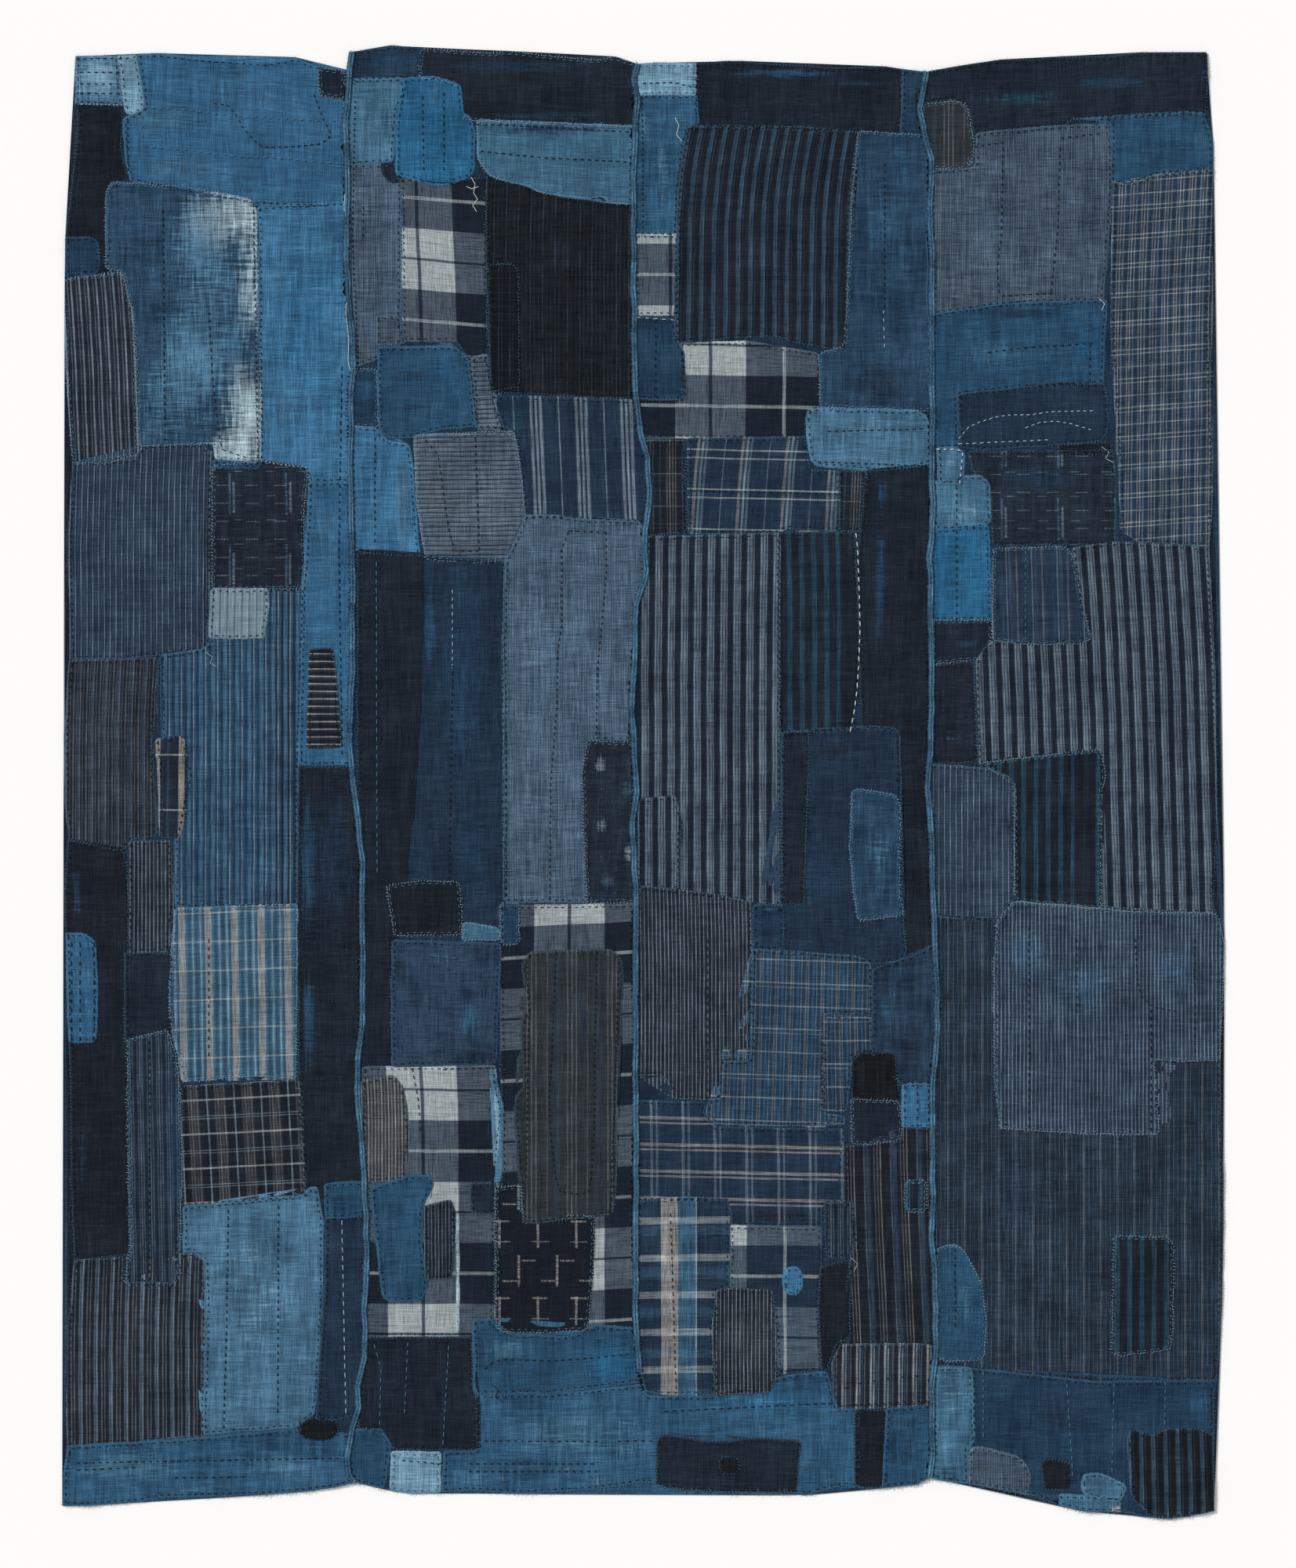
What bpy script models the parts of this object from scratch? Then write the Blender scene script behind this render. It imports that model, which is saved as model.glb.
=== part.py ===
"""A patched indigo quilt cover, laid flat: four loom-width panels of layered cotton, sewn edge to edge.

Metres, +Z up. The origin is under the middle of the cloth, +X runs to its right edge and +Y to
its top edge. The tables give places in millimetres across and down the cloth's layout, which
starts above and left of the cloth. Each panel is one sheet: the base cloth, its patches and its
backing, quilted together. Its underside lies on the surface but for the soft folds, and its long
edges stand up a little in the seams.
"""

from collections import namedtuple
import math

import bmesh
import bpy

MM = 0.001

CLOTH_THICKNESS = 2.0
SEAM_GAP = 0.3
SELVEDGE_WIDTH = 2.6  # each panel's share of the raised seam
SELVEDGE_FOOT = 6.6  # how far from the seam the raised edge meets the flat cloth
SELVEDGE_RISE = 1.6
ROW_PITCH = 40
COLUMNS = 9

# The long edges are quilted tighter than the middles, so they cockle.
COCKLE_PITCH = 200
COCKLE_RISE = 1.1
COCKLE_REACH = 70

# Where the cloth's two sides and its three seams lie, at distances down the cloth.
Section = namedtuple("Section", "down left seam_1 seam_2 seam_3 right")
SECTIONS = (
    Section(40, 96, 448, 814, 1181, 1541),
    Section(140, 97, 442, 812, 1176, 1538),
    Section(200, 95, 443, 808, 1187, 1548),
    Section(300, 83, 442, 808, 1187, 1546),
    Section(440, 83, 450, 807, 1188, 1543),
    Section(600, 92, 447, 827, 1189, 1548),
    Section(720, 86, 449, 822, 1186, 1543),
    Section(840, 89, 449, 809, 1188, 1550),
    Section(960, 81, 447, 809, 1185, 1552),
    Section(1100, 84, 462, 810, 1189, 1550),
    Section(1200, 83, 462, 811, 1193, 1562),
    Section(1310, 86, 462, 811, 1195, 1558),
    Section(1390, 89, 456, 810, 1189, 1559),
    Section(1500, 90, 465, 811, 1190, 1561),
    Section(1610, 94, 467, 811, 1193, 1560),
    Section(1700, 86, 465, 811, 1193, 1557),
    Section(1770, 85, 456, 820, 1188, 1550),
    Section(1850, 84, 445, 824, 1190, 1549),
    Section(1940, 79, 452, 825, 1186, 1549),
)

# Each panel's two long edges by name, and how far down its top and bottom edges lie at places across it.
Panel = namedtuple("Panel", "name left right top bottom colour")
PANELS = (
    Panel(
        "panel_first", "left", "seam_1",
        top=((96, 71), (200, 67), (337, 79), (377, 72), (448, 90)),
        bottom=((79, 1921), (203, 1911), (390, 1903), (452, 1891)),
        colour=(0.040, 0.085, 0.150),
    ),
    Panel(
        "panel_second", "seam_1", "seam_2",
        top=((448, 66), (499, 57), (644, 64), (750, 75), (814, 81)),
        bottom=((452, 1891), (530, 1906), (700, 1904), (825, 1890)),
        colour=(0.030, 0.055, 0.100),
    ),
    Panel(
        "panel_third", "seam_2", "seam_3",
        top=((814, 81), (926, 77), (1033, 83), (1181, 91)),
        bottom=((825, 1890), (932, 1905), (1030, 1908), (1186, 1885)),
        colour=(0.026, 0.045, 0.080),
    ),
    Panel(
        "panel_fourth", "seam_3", "right",
        top=((1181, 90), (1259, 78), (1456, 66), (1541, 66)),
        bottom=((1186, 1885), (1313, 1908), (1386, 1929), (1491, 1938), (1549, 1928)),
        colour=(0.038, 0.070, 0.115),
    ),
)

# The main folds, each a soft ridge from one place to another, with its height and its full width.
Fold = namedtuple("Fold", "across down end_across end_down rise width")
FOLDS = (
    Fold(170, 260, 320, 470, 2.4, 130),
    Fold(130, 160, 400, 175, 1.8, 110),
    Fold(100, 700, 250, 720, 2.2, 120),
    Fold(200, 980, 330, 1240, 2.6, 140),
    Fold(300, 1590, 150, 1800, 2.6, 150),
    Fold(560, 150, 700, 200, 2.2, 120),
    Fold(540, 640, 640, 1130, 2.8, 150),
    Fold(700, 330, 730, 560, 2.4, 130),
    Fold(600, 1250, 530, 1600, 2.6, 140),
    Fold(640, 1800, 780, 1850, 2.4, 120),
    Fold(900, 995, 1140, 985, 3.4, 120),
    Fold(960, 230, 1000, 480, 2.6, 150),
    Fold(1060, 1230, 1120, 1380, 3.0, 130),
    Fold(880, 1560, 1010, 1720, 2.6, 140),
    Fold(1110, 1860, 1170, 1760, 3.6, 110),
    Fold(1240, 160, 1500, 175, 3.2, 110),
    Fold(1400, 330, 1440, 640, 2.8, 130),
    Fold(1300, 1000, 1480, 880, 2.6, 140),
    Fold(1300, 1290, 1520, 1380, 2.8, 150),
    Fold(1280, 1560, 1420, 1700, 2.6, 150),
    Fold(1250, 1850, 1500, 1870, 2.6, 110),
)


def between(points, at):
    """The second value of points, pairs in order of their first value, at a first value of at."""
    for (first, low), (last, high) in zip(points, points[1:]):
        if at <= last:
            break
    return low + (high - low) * (at - first) / (last - first)


def long_edge(name, down):
    """How far across the side or seam called name lies, at a distance down the cloth."""
    return between([(section.down, getattr(section, name)) for section in SECTIONS], down)


def bell(reach):
    """1 at 0, falling smoothly to 0 at 1 and past it."""
    return 0.5 + 0.5 * math.cos(math.pi * min(reach, 1))


def fold_rise(fold, across, down):
    """How high one fold lifts the cloth at a place."""
    run_across, run_down = fold.end_across - fold.across, fold.end_down - fold.down
    length = math.hypot(run_across, run_down)
    from_across, from_down = across - fold.across, down - fold.down
    along = (from_across * run_across + from_down * run_down) / length
    aside = (from_across * run_down - from_down * run_across) / length
    beyond = max(0, -along, along - length)
    return fold.rise * bell(2 * math.hypot(aside, beyond) / fold.width)


def underside(across, down, from_edge):
    """How high the cloth's underside lies at a place that is from_edge inside its panel's long edge."""
    folds = max(fold_rise(fold, across, down) for fold in FOLDS)
    wave = 0.5 - 0.5 * math.cos(2 * math.pi * down / COCKLE_PITCH)
    return folds + COCKLE_RISE * wave * bell(from_edge / COCKLE_REACH)


def columns_from(edge_is_seam):
    """The first columns' distances from a long edge, and how high each stands over the cloth."""
    if edge_is_seam:
        return [(SEAM_GAP / 2, SELVEDGE_RISE), (SELVEDGE_WIDTH, SELVEDGE_RISE), (SELVEDGE_FOOT, 0)]
    return [(0, 0)]


def row_points(panel, left_down, right_down, down_at):
    """One row of the panel's underside, left to right, as (across, down, height).

    Its ends lie on the long edges at left_down and right_down, and down_at gives how far down
    each point is from how far across it is.
    """
    left, right = long_edge(panel.left, left_down), long_edge(panel.right, right_down)
    left_columns = columns_from(panel.left != "left")
    right_columns = columns_from(panel.right != "right")
    first, last = left + left_columns[-1][0], right - right_columns[-1][0]
    places = [(left + way, lift) for way, lift in left_columns[:-1]]
    places += [(first + (last - first) * step / COLUMNS, 0) for step in range(COLUMNS + 1)]
    places += [(right - way, lift) for way, lift in reversed(right_columns[:-1])]
    row = []
    for across, lift in places:
        down = down_at(across)
        from_edge = min(across - left, right - across)
        row.append((across, down, lift + underside(across, down, from_edge)))
    return row


def sheet_points(panel):
    """The panel's underside as rows from the bottom edge up to the top edge."""

    def end_row(edge):
        return row_points(panel, edge[0][1], edge[-1][1], lambda across: between(edge, across))

    highest, lowest = min(down for _, down in panel.top), max(down for _, down in panel.bottom)
    first_down = ROW_PITCH * math.ceil(highest / ROW_PITCH + 0.8)
    inner_downs = range(first_down, int(lowest - 1.4 * ROW_PITCH), ROW_PITCH)
    rows = [end_row(panel.bottom)]
    rows += [row_points(panel, d, d, lambda across, d=d: d) for d in reversed(inner_downs)]
    rows.append(end_row(panel.top))
    return rows


def cotton(name, colour):
    """Matt, much-washed cotton."""
    material = bpy.data.materials.new(name)
    material.use_nodes = True
    shader = material.node_tree.nodes["Principled BSDF"]
    shader.inputs["Base Color"].default_value = (*colour, 1)
    shader.inputs["Roughness"].default_value = 0.92
    shader.inputs["Metallic"].default_value = 0
    return material


def make_panel(panel, rows, middle, collection):
    """One panel: a grid whose points take their places in rows, thickened upwards from its underside."""
    grid = bmesh.new()
    x_cells, y_cells = len(rows[0]) - 1, len(rows) - 1
    bmesh.ops.create_grid(grid, x_segments=x_cells, y_segments=y_cells, size=1)
    for point in grid.verts:
        column = round((point.co.x + 1) / 2 * x_cells)
        row = round((point.co.y + 1) / 2 * y_cells)
        across, down, height = rows[row][column]
        point.co = ((across - middle[0]) * MM, (middle[1] - down) * MM, height * MM)
    mesh = bpy.data.meshes.new(panel.name)
    grid.to_mesh(mesh)
    grid.free()
    mesh.shade_smooth()
    mesh.materials.append(cotton(panel.name + "_cotton", panel.colour))
    sheet = bpy.data.objects.new(panel.name, mesh)
    collection.objects.link(sheet)
    thick = sheet.modifiers.new("Cloth thickness", "SOLIDIFY")
    thick.thickness = CLOTH_THICKNESS * MM
    thick.offset = 1
    return sheet


def main():
    for old in list(bpy.data.objects):
        bpy.data.objects.remove(old, do_unlink=True)
    collection = bpy.data.collections.new("Patched indigo quilt cover")
    bpy.context.scene.collection.children.link(collection)
    rows_of = {panel: sheet_points(panel) for panel in PANELS}
    points = [point for rows in rows_of.values() for row in rows for point in row]
    acrosses, downs = [p[0] for p in points], [p[1] for p in points]
    middle = ((min(acrosses) + max(acrosses)) / 2, (min(downs) + max(downs)) / 2)
    for panel, rows in rows_of.items():
        make_panel(panel, rows, middle, collection)


main()
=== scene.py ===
"""The looks of a patched indigo quilt cover (boro), laid flat and seen face on.

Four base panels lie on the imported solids' folds. The patches are laid on them one after
another, each draped over what lies under it, and sewn down with running stitches. Tables give
places in millimetres across and down the cloth's layout, as the solids' tables do.
"""

import math
from collections import namedtuple

import bpy
import numpy as np
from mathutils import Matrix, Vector
from mathutils.geometry import delaunay_2d_cdt
from mathutils.kdtree import KDTree


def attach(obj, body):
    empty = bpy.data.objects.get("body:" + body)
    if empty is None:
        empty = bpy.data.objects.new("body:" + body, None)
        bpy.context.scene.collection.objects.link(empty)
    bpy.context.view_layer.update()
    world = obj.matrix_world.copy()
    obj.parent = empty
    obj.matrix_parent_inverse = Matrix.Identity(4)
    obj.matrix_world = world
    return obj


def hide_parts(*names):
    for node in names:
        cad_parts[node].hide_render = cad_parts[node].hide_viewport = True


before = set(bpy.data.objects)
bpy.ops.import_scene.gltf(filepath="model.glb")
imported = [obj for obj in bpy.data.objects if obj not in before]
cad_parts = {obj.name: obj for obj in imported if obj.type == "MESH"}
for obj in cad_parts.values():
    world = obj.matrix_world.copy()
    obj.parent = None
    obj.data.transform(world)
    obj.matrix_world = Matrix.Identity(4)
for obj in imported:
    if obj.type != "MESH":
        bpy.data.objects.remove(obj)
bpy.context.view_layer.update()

MM = 0.001
MIDDLE_ACROSS, MIDDLE_DOWN = 820, 997.5  # the layout's place of the row frame's origin

# The height maps cover the whole layout, one cell each 2 mm.
CELL = 2.0
MAP_ROWS, MAP_COLUMNS = 980, 800

BASE_THICKNESS = 1.1
PATCH_THICKNESS = 0.7
HEM_RISE, HEM_WIDTH = 0.45, 6.5  # a turned hem is one layer more
RIM_WIDTH = 1.3  # between a patch's edge and its second row of points
WORN_WIDTH, WORN_SHARE = 3, 2.4  # how far in a hem is worn pale, and how strongly
WINDOW_MARGIN = 14  # round a patch, on the height map
ON_EDGE = 0.2  # a point this near the edge is on it
LEAST_LAYER = 0.6 * PATCH_THICKNESS  # the least that a patch adds to what lies under it
EDGE_TUCK = 0.06  # how far a patch's edge dips into what lies under it
AT_SIDE, SIDE_HEIGHT = 0.8, 0.75 * BASE_THICKNESS  # an edge this near the panel's side ends this high
COVERED = 0.6  # a face that later patches cover by this share is left out

# Between a mesh's points: inside it and on its edge.
POINT_PITCH, EDGE_PITCH = 5.2, 3.2
BASE_PITCH, BASE_EDGE_PITCH = 14, 4.0
INNER_GAP = 2.6  # between a patch's edge and its inner points
BASE_INSET = 0.6  # of a base panel, inside its patches' edges


# Palette

# Indigo cotton by how often it was dipped and washed, and the undyed yarns beside it.
DYES = {
    "black": "#171a1e",
    "soot": "#1b202a",
    "ink": "#1d2531",
    "night": "#1f2936",
    "midnight": "#223448",
    "deep": "#243e55",
    "indigo": "#2b506c",
    "cobalt": "#2a6489",
    "azure": "#386789",
    "mid": "#426982",
    "wash": "#456a84",
    "pale": "#6d90a5",
    "ice": "#93a6ae",
    "white": "#c6cdca",
    "storm": "#28394c",
    "slate": "#3a4c5f",
    "chambray": "#455d73",
    "ash": "#7a8894",
    "sand": "#a09a94",
    "taupe": "#636568",
    "umber": "#32383d",
    "teal": "#25495a",
    "grey": "#8fa5b3",
    "undyed": "#c9cdca",
}


def linear(hex_colour):
    """An sRGB hex colour as a linear RGBA tuple."""
    channels = [int(hex_colour[i : i + 2], 16) / 255 for i in (1, 3, 5)]
    return (*[c / 12.92 if c <= 0.04045 else ((c + 0.055) / 1.055) ** 2.4 for c in channels], 1)


def dye(name):
    return linear(DYES[name])


# Height maps

# The solids' main folds and cockled long edges, from part.py.
Fold = namedtuple("Fold", "across down end_across end_down rise width")
FOLDS = (
    Fold(170, 260, 320, 470, 2.4, 130),
    Fold(130, 160, 400, 175, 1.8, 110),
    Fold(100, 700, 250, 720, 2.2, 120),
    Fold(200, 980, 330, 1240, 2.6, 140),
    Fold(300, 1590, 150, 1800, 2.6, 150),
    Fold(560, 150, 700, 200, 2.2, 120),
    Fold(540, 640, 640, 1130, 2.8, 150),
    Fold(700, 330, 730, 560, 2.4, 130),
    Fold(600, 1250, 530, 1600, 2.6, 140),
    Fold(640, 1800, 780, 1850, 2.4, 120),
    Fold(900, 995, 1140, 985, 3.4, 120),
    Fold(960, 230, 1000, 480, 2.6, 150),
    Fold(1060, 1230, 1120, 1380, 3.0, 130),
    Fold(880, 1560, 1010, 1720, 2.6, 140),
    Fold(1110, 1860, 1170, 1760, 3.6, 110),
    Fold(1240, 160, 1500, 175, 3.2, 110),
    Fold(1400, 330, 1440, 640, 2.8, 130),
    Fold(1300, 1000, 1480, 880, 2.6, 140),
    Fold(1300, 1290, 1520, 1380, 2.8, 150),
    Fold(1280, 1560, 1420, 1700, 2.6, 150),
    Fold(1250, 1850, 1500, 1870, 2.6, 110),
)
COCKLE_PITCH, COCKLE_RISE, COCKLE_REACH = 200, 1.1, 70
LUMPS = ((60, 0.30), (26, 0.26), (14, 0.13))  # the pitch and rise of the soft unevenness
LIFT, LEAST_LIFT = 0.6, 0.02  # how high the cloth lies over the surface
CREASE_SHARE = 0.9

# Creases too fine for the solids: ridges, or troughs where the rise is below 0.
CREASES = (
    Fold(905, 985, 1000, 1004, 1.6, 16),
    Fold(1000, 1000, 1090, 990, 1.2, 14),
    Fold(1085, 992, 1150, 984, 1.4, 14),
    Fold(1010, 1012, 1100, 1016, -0.7, 12),
    Fold(1118, 1850, 1172, 1800, 2.2, 14),
    Fold(1126, 1880, 1186, 1838, 1.8, 14),
    Fold(1134, 1806, 1150, 1870, 1.2, 12),
    Fold(1350, 158, 1470, 150, 1.4, 16),
    Fold(1260, 172, 1350, 160, 1.0, 16),
    Fold(1470, 760, 1540, 850, 1.1, 18),
    Fold(1410, 700, 1460, 770, 0.9, 16),
    Fold(1210, 1300, 1300, 1290, 1.0, 16),
    Fold(1420, 1250, 1520, 1232, 1.1, 16),
    Fold(168, 228, 330, 250, 1.1, 14),
    Fold(330, 250, 440, 256, 0.8, 12),
    Fold(100, 1082, 158, 1090, 0.9, 12),
    Fold(130, 815, 230, 826, 1.0, 14),
    Fold(236, 1290, 300, 1262, 0.8, 16),
    Fold(275, 1340, 375, 1350, 0.8, 16),
    Fold(468, 1375, 560, 1368, 0.9, 14),
    Fold(560, 560, 640, 545, 1.0, 14),
    Fold(470, 475, 480, 555, 1.0, 12),
    Fold(690, 252, 800, 262, 1.1, 12),
    Fold(630, 330, 664, 480, 0.8, 14),
    Fold(640, 980, 745, 960, 0.7, 16),
    Fold(870, 165, 880, 300, 0.8, 16),
    Fold(860, 300, 866, 440, 0.7, 14),
    Fold(1096, 170, 1082, 380, 0.8, 14),
    Fold(1100, 1180, 1160, 1225, 1.1, 14),
    Fold(1060, 1290, 1112, 1300, 0.9, 12),
    Fold(1200, 640, 1262, 660, 0.9, 12),
    Fold(1194, 800, 1262, 806, 0.9, 12),
    Fold(105, 1846, 240, 1840, 0.9, 12),
    Fold(100, 1880, 230, 1895, 1.0, 16),
    Fold(290, 1880, 440, 1870, 0.9, 16),
    Fold(600, 1860, 820, 1866, 0.9, 16),
    Fold(850, 1812, 1060, 1800, 0.9, 16),
    Fold(1250, 1800, 1400, 1830, 1.0, 18),
    Fold(1400, 1850, 1440, 1900, 0.9, 14),
)

# Where the two sides and the three seams lie, from top to bottom.
LEFT_SIDE = (
    (96, 71), (95, 130), (99, 150), (95, 200), (87, 270), (83, 302), (82, 360), (83, 470), (92, 589),
    (87, 670), (86, 720), (89, 830), (86, 863), (81, 938), (82, 1023), (87, 1060), (82, 1140), (83, 1193),
    (85, 1290), (89, 1370), (90, 1500), (94, 1608), (86, 1690), (84, 1800), (86, 1842), (80, 1880),
    (79, 1921),
)
SEAM_1 = (
    (448, 66), (444, 110), (441, 150), (443, 236), (442, 343), (445, 397), (450, 442), (451, 470), (447, 500),
    (447, 600), (449, 700), (449, 850), (446, 950), (452, 1010), (457, 1050), (462, 1103), (462, 1310),
    (456, 1350), (455, 1390), (458, 1425), (464, 1483), (468, 1590), (465, 1653), (465, 1731), (456, 1768),
    (458, 1795), (449, 1821), (443, 1859), (446, 1880), (452, 1891),
)
SEAM_2 = (
    (813, 81), (809, 100), (812, 130), (808, 200), (808, 295), (809, 400), (807, 430), (811, 506), (817, 553),
    (826, 583), (828, 621), (824, 676), (822, 740), (811, 772), (810, 830), (806, 903), (811, 1010),
    (807, 1050), (812, 1150), (810, 1380), (812, 1523), (810, 1680), (816, 1750), (825, 1780), (825, 1890),
)
SEAM_3 = (
    (1181, 91), (1174, 139), (1178, 170), (1188, 204), (1186, 282), (1189, 320), (1188, 480), (1190, 540),
    (1188, 592), (1190, 660), (1186, 713), (1188, 848), (1187, 960), (1182, 1003), (1187, 1042), (1191, 1165),
    (1193, 1210), (1196, 1285), (1194, 1338), (1189, 1381), (1190, 1500), (1188, 1580), (1194, 1620),
    (1193, 1720), (1188, 1776), (1190, 1850), (1186, 1885),
)
RIGHT_SIDE = (
    (1540, 66), (1541, 90), (1540, 131), (1537, 150), (1544, 166), (1548, 182), (1548, 204), (1546, 293),
    (1543, 430), (1548, 597), (1547, 646), (1543, 700), (1548, 810), (1551, 864), (1553, 1012), (1551, 1080),
    (1548, 1161), (1556, 1172), (1562, 1202), (1561, 1257), (1557, 1340), (1561, 1500), (1561, 1560),
    (1559, 1668), (1555, 1722), (1553, 1760), (1549, 1763), (1549, 1928),
)
TOPS = (
    ((96, 71), (150, 70), (154, 75), (164, 69), (200, 67), (251, 73), (337, 79), (366, 75), (377, 72),
     (390, 78), (403, 83), (448, 90)),
    ((448, 66), (470, 62), (499, 57), (542, 61), (592, 65), (632, 67), (644, 64), (688, 69), (750, 75),
     (779, 76), (784, 71), (794, 75), (813, 81)),
    ((813, 81), (836, 79), (891, 80), (926, 77), (948, 77), (986, 81), (1033, 83), (1055, 86), (1109, 85),
     (1129, 84), (1153, 88), (1181, 91)),
    ((1181, 91), (1238, 81), (1259, 78), (1278, 75), (1316, 75), (1346, 72), (1413, 71), (1456, 66),
     (1540, 66)),
)
BOTTOMS = (
    ((79, 1921), (110, 1921), (177, 1917), (203, 1911), (283, 1909), (337, 1907), (390, 1903), (430, 1897),
     (452, 1891)),
    ((452, 1891), (470, 1895), (503, 1903), (530, 1906), (600, 1902), (660, 1906), (700, 1904), (755, 1901),
     (790, 1896), (825, 1890)),
    ((825, 1890), (850, 1899), (877, 1902), (932, 1905), (1019, 1905), (1027, 1908), (1049, 1902),
     (1088, 1892), (1098, 1899), (1124, 1899), (1150, 1896), (1170, 1894), (1186, 1885)),
    ((1186, 1885), (1202, 1889), (1251, 1896), (1313, 1908), (1354, 1911), (1350, 1921), (1386, 1929),
     (1440, 1930), (1456, 1935), (1491, 1938), (1516, 1935), (1549, 1928)),
)
LONG_EDGES = (LEFT_SIDE, SEAM_1, SEAM_2, SEAM_3, RIGHT_SIDE)
PANELS = ("first", "second", "third", "fourth")


def cloth_outline(first, last):
    """The outline of the panels from first to last, from the top left corner, down the left."""
    top, bottom = TOPS[first], BOTTOMS[first]
    for number in range(first + 1, last + 1):
        top, bottom = top + TOPS[number][1:], bottom + BOTTOMS[number][1:]
    left = [p for p in LONG_EDGES[first] if top[0][1] < p[1] < bottom[0][1]]
    right = [p for p in LONG_EDGES[last + 1] if top[-1][1] < p[1] < bottom[-1][1]]
    return np.array([top[0], *left, *bottom, *right[::-1], *top[:0:-1]], float)


def softened(field, reach):
    """field, averaged over a square of reach cells each way, twice over."""
    width = 2 * reach + 1
    for _ in range(2):
        for axis in (0, 1):
            pads = [(reach + 1, reach) if a == axis else (0, 0) for a in (0, 1)]
            sums = np.cumsum(np.pad(field, pads, mode="edge"), axis=axis)
            ahead = np.take(sums, range(width, sums.shape[axis]), axis=axis)
            behind = np.take(sums, range(0, sums.shape[axis] - width), axis=axis)
            field = (ahead - behind) / width
    return field


def sample(field, across, down):
    """The field's values at places in layout millimetres, read between its cells."""
    x = np.clip(np.asarray(across, float) / CELL, 0, field.shape[1] - 1.001)
    y = np.clip(np.asarray(down, float) / CELL, 0, field.shape[0] - 1.001)
    i, j = x.astype(int), y.astype(int)
    fx, fy = x - i, y - j
    upper = field[j, i] * (1 - fx) + field[j, i + 1] * fx
    lower = field[j + 1, i] * (1 - fx) + field[j + 1, i + 1] * fx
    return upper * (1 - fy) + lower * fy


def bell(reach):
    """1 at 0, falling smoothly to 0 at 1 and past it."""
    return 0.5 + 0.5 * np.cos(np.pi * np.minimum(reach, 1))


def fold_map(fold, across, down):
    """How high one fold lifts the cloth, over the whole map."""
    run_across, run_down = fold.end_across - fold.across, fold.end_down - fold.down
    length = math.hypot(run_across, run_down)
    along = ((across - fold.across) * run_across + (down - fold.down) * run_down) / length
    aside = ((across - fold.across) * run_down - (down - fold.down) * run_across) / length
    beyond = np.maximum(0, np.maximum(-along, along - length))
    return fold.rise * bell(2 * np.hypot(aside, beyond) / fold.width)


def lumps(rng, pitch, rise):
    """Soft random unevenness, about pitch millimetres from lump to lump."""
    reach = max(1, round(pitch / CELL / 4))
    field = softened(rng.standard_normal((MAP_ROWS, MAP_COLUMNS)), reach)
    return field / field.std() * rise


def unevenness():
    """How high the cloth lies over the surface, before its own layers are added."""
    rng = np.random.default_rng(11)
    down, across = np.mgrid[0:MAP_ROWS, 0:MAP_COLUMNS] * CELL
    lift = np.zeros((MAP_ROWS, MAP_COLUMNS))
    for fold in FOLDS:
        lift = np.maximum(lift, fold_map(fold, across, down))
    downs = down[:, 0]
    edges = [np.interp(downs, [p[1] for p in line], [p[0] for p in line]) for line in LONG_EDGES]
    from_edge = np.min([np.abs(across - edge[:, None]) for edge in edges], axis=0)
    cockle = 0.5 - 0.5 * np.cos(2 * math.pi * down / COCKLE_PITCH)
    lift += COCKLE_RISE * cockle * bell(from_edge / COCKLE_REACH)
    lift += sum(lumps(rng, pitch, rise) for pitch, rise in LUMPS) + LIFT
    for crease in CREASES:
        lift += CREASE_SHARE * fold_map(crease, across, down)
    return np.maximum(lift, LEAST_LIFT)


# Cutting outlines

def scene_xy(across, down):
    """Layout millimetres as the row frame's x and y, in metres."""
    return (np.asarray(across) - MIDDLE_ACROSS) * MM, (MIDDLE_DOWN - np.asarray(down)) * MM


def rounded(outline, corner):
    """The outline with each corner cut back by up to corner millimetres."""
    points = np.array(outline, float)
    before, after = np.roll(points, 1, 0), np.roll(points, -1, 0)
    cut = []
    for last, here, following in zip(before, points, after):
        for other in (last, following):
            way = other - here
            length = np.hypot(*way)
            cut.append(here + way * min(corner, 0.4 * length) / max(length, 1e-6))
    return np.array(cut)


def spaced(points, pitch, closed=True):
    """Points at an even pitch along a line through points."""
    points = np.asarray(points, float)
    if closed:
        points = np.vstack([points, points[:1]])
    lengths = np.concatenate([[0], np.cumsum(np.hypot(*np.diff(points, axis=0).T))])
    count = max(3, round(lengths[-1] / pitch))
    at = np.linspace(0, lengths[-1], count + 1)[: count if closed else count + 1]
    return np.stack([np.interp(at, lengths, points[:, k]) for k in (0, 1)], 1)


def outward(points):
    """Unit vectors out of a closed outline, at each point."""
    along = np.roll(points, -1, 0) - np.roll(points, 1, 0)
    along /= np.maximum(np.hypot(*along.T), 1e-6)[:, None]
    x, y = points.T
    turn = np.sign(np.sum(x * np.roll(y, -1) - np.roll(x, -1) * y))
    return np.stack([along[:, 1], -along[:, 0]], 1) * turn


def wavered(points, rng, sway):
    """A hand-cut edge: the outline, waved in and out by about sway millimetres."""
    places = np.arange(len(points)) / len(points)
    offset = np.zeros(len(points))
    for waves, share in ((9, 0.5), (23, 0.3), (61, 0.25)):
        waves = max(3, round(waves * len(points) / 150))
        offset += share * sway * np.sin(2 * math.pi * (waves * places + rng.random()))
    return points + outward(points) * (offset + rng.normal(0, 0.12 * sway, len(points)))[:, None]


def inside(points, outline):
    """Which points lie inside the closed outline."""
    x, y = np.asarray(points, float).T
    found = np.zeros(len(x), bool)
    ends = np.roll(outline, -1, 0)
    for (x0, y0), (x1, y1) in zip(outline, ends):
        if y0 != y1:
            crosses = (y0 > y) != (y1 > y)
            found ^= crosses & (x < x0 + (y - y0) * (x1 - x0) / (y1 - y0))
    return found


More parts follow.
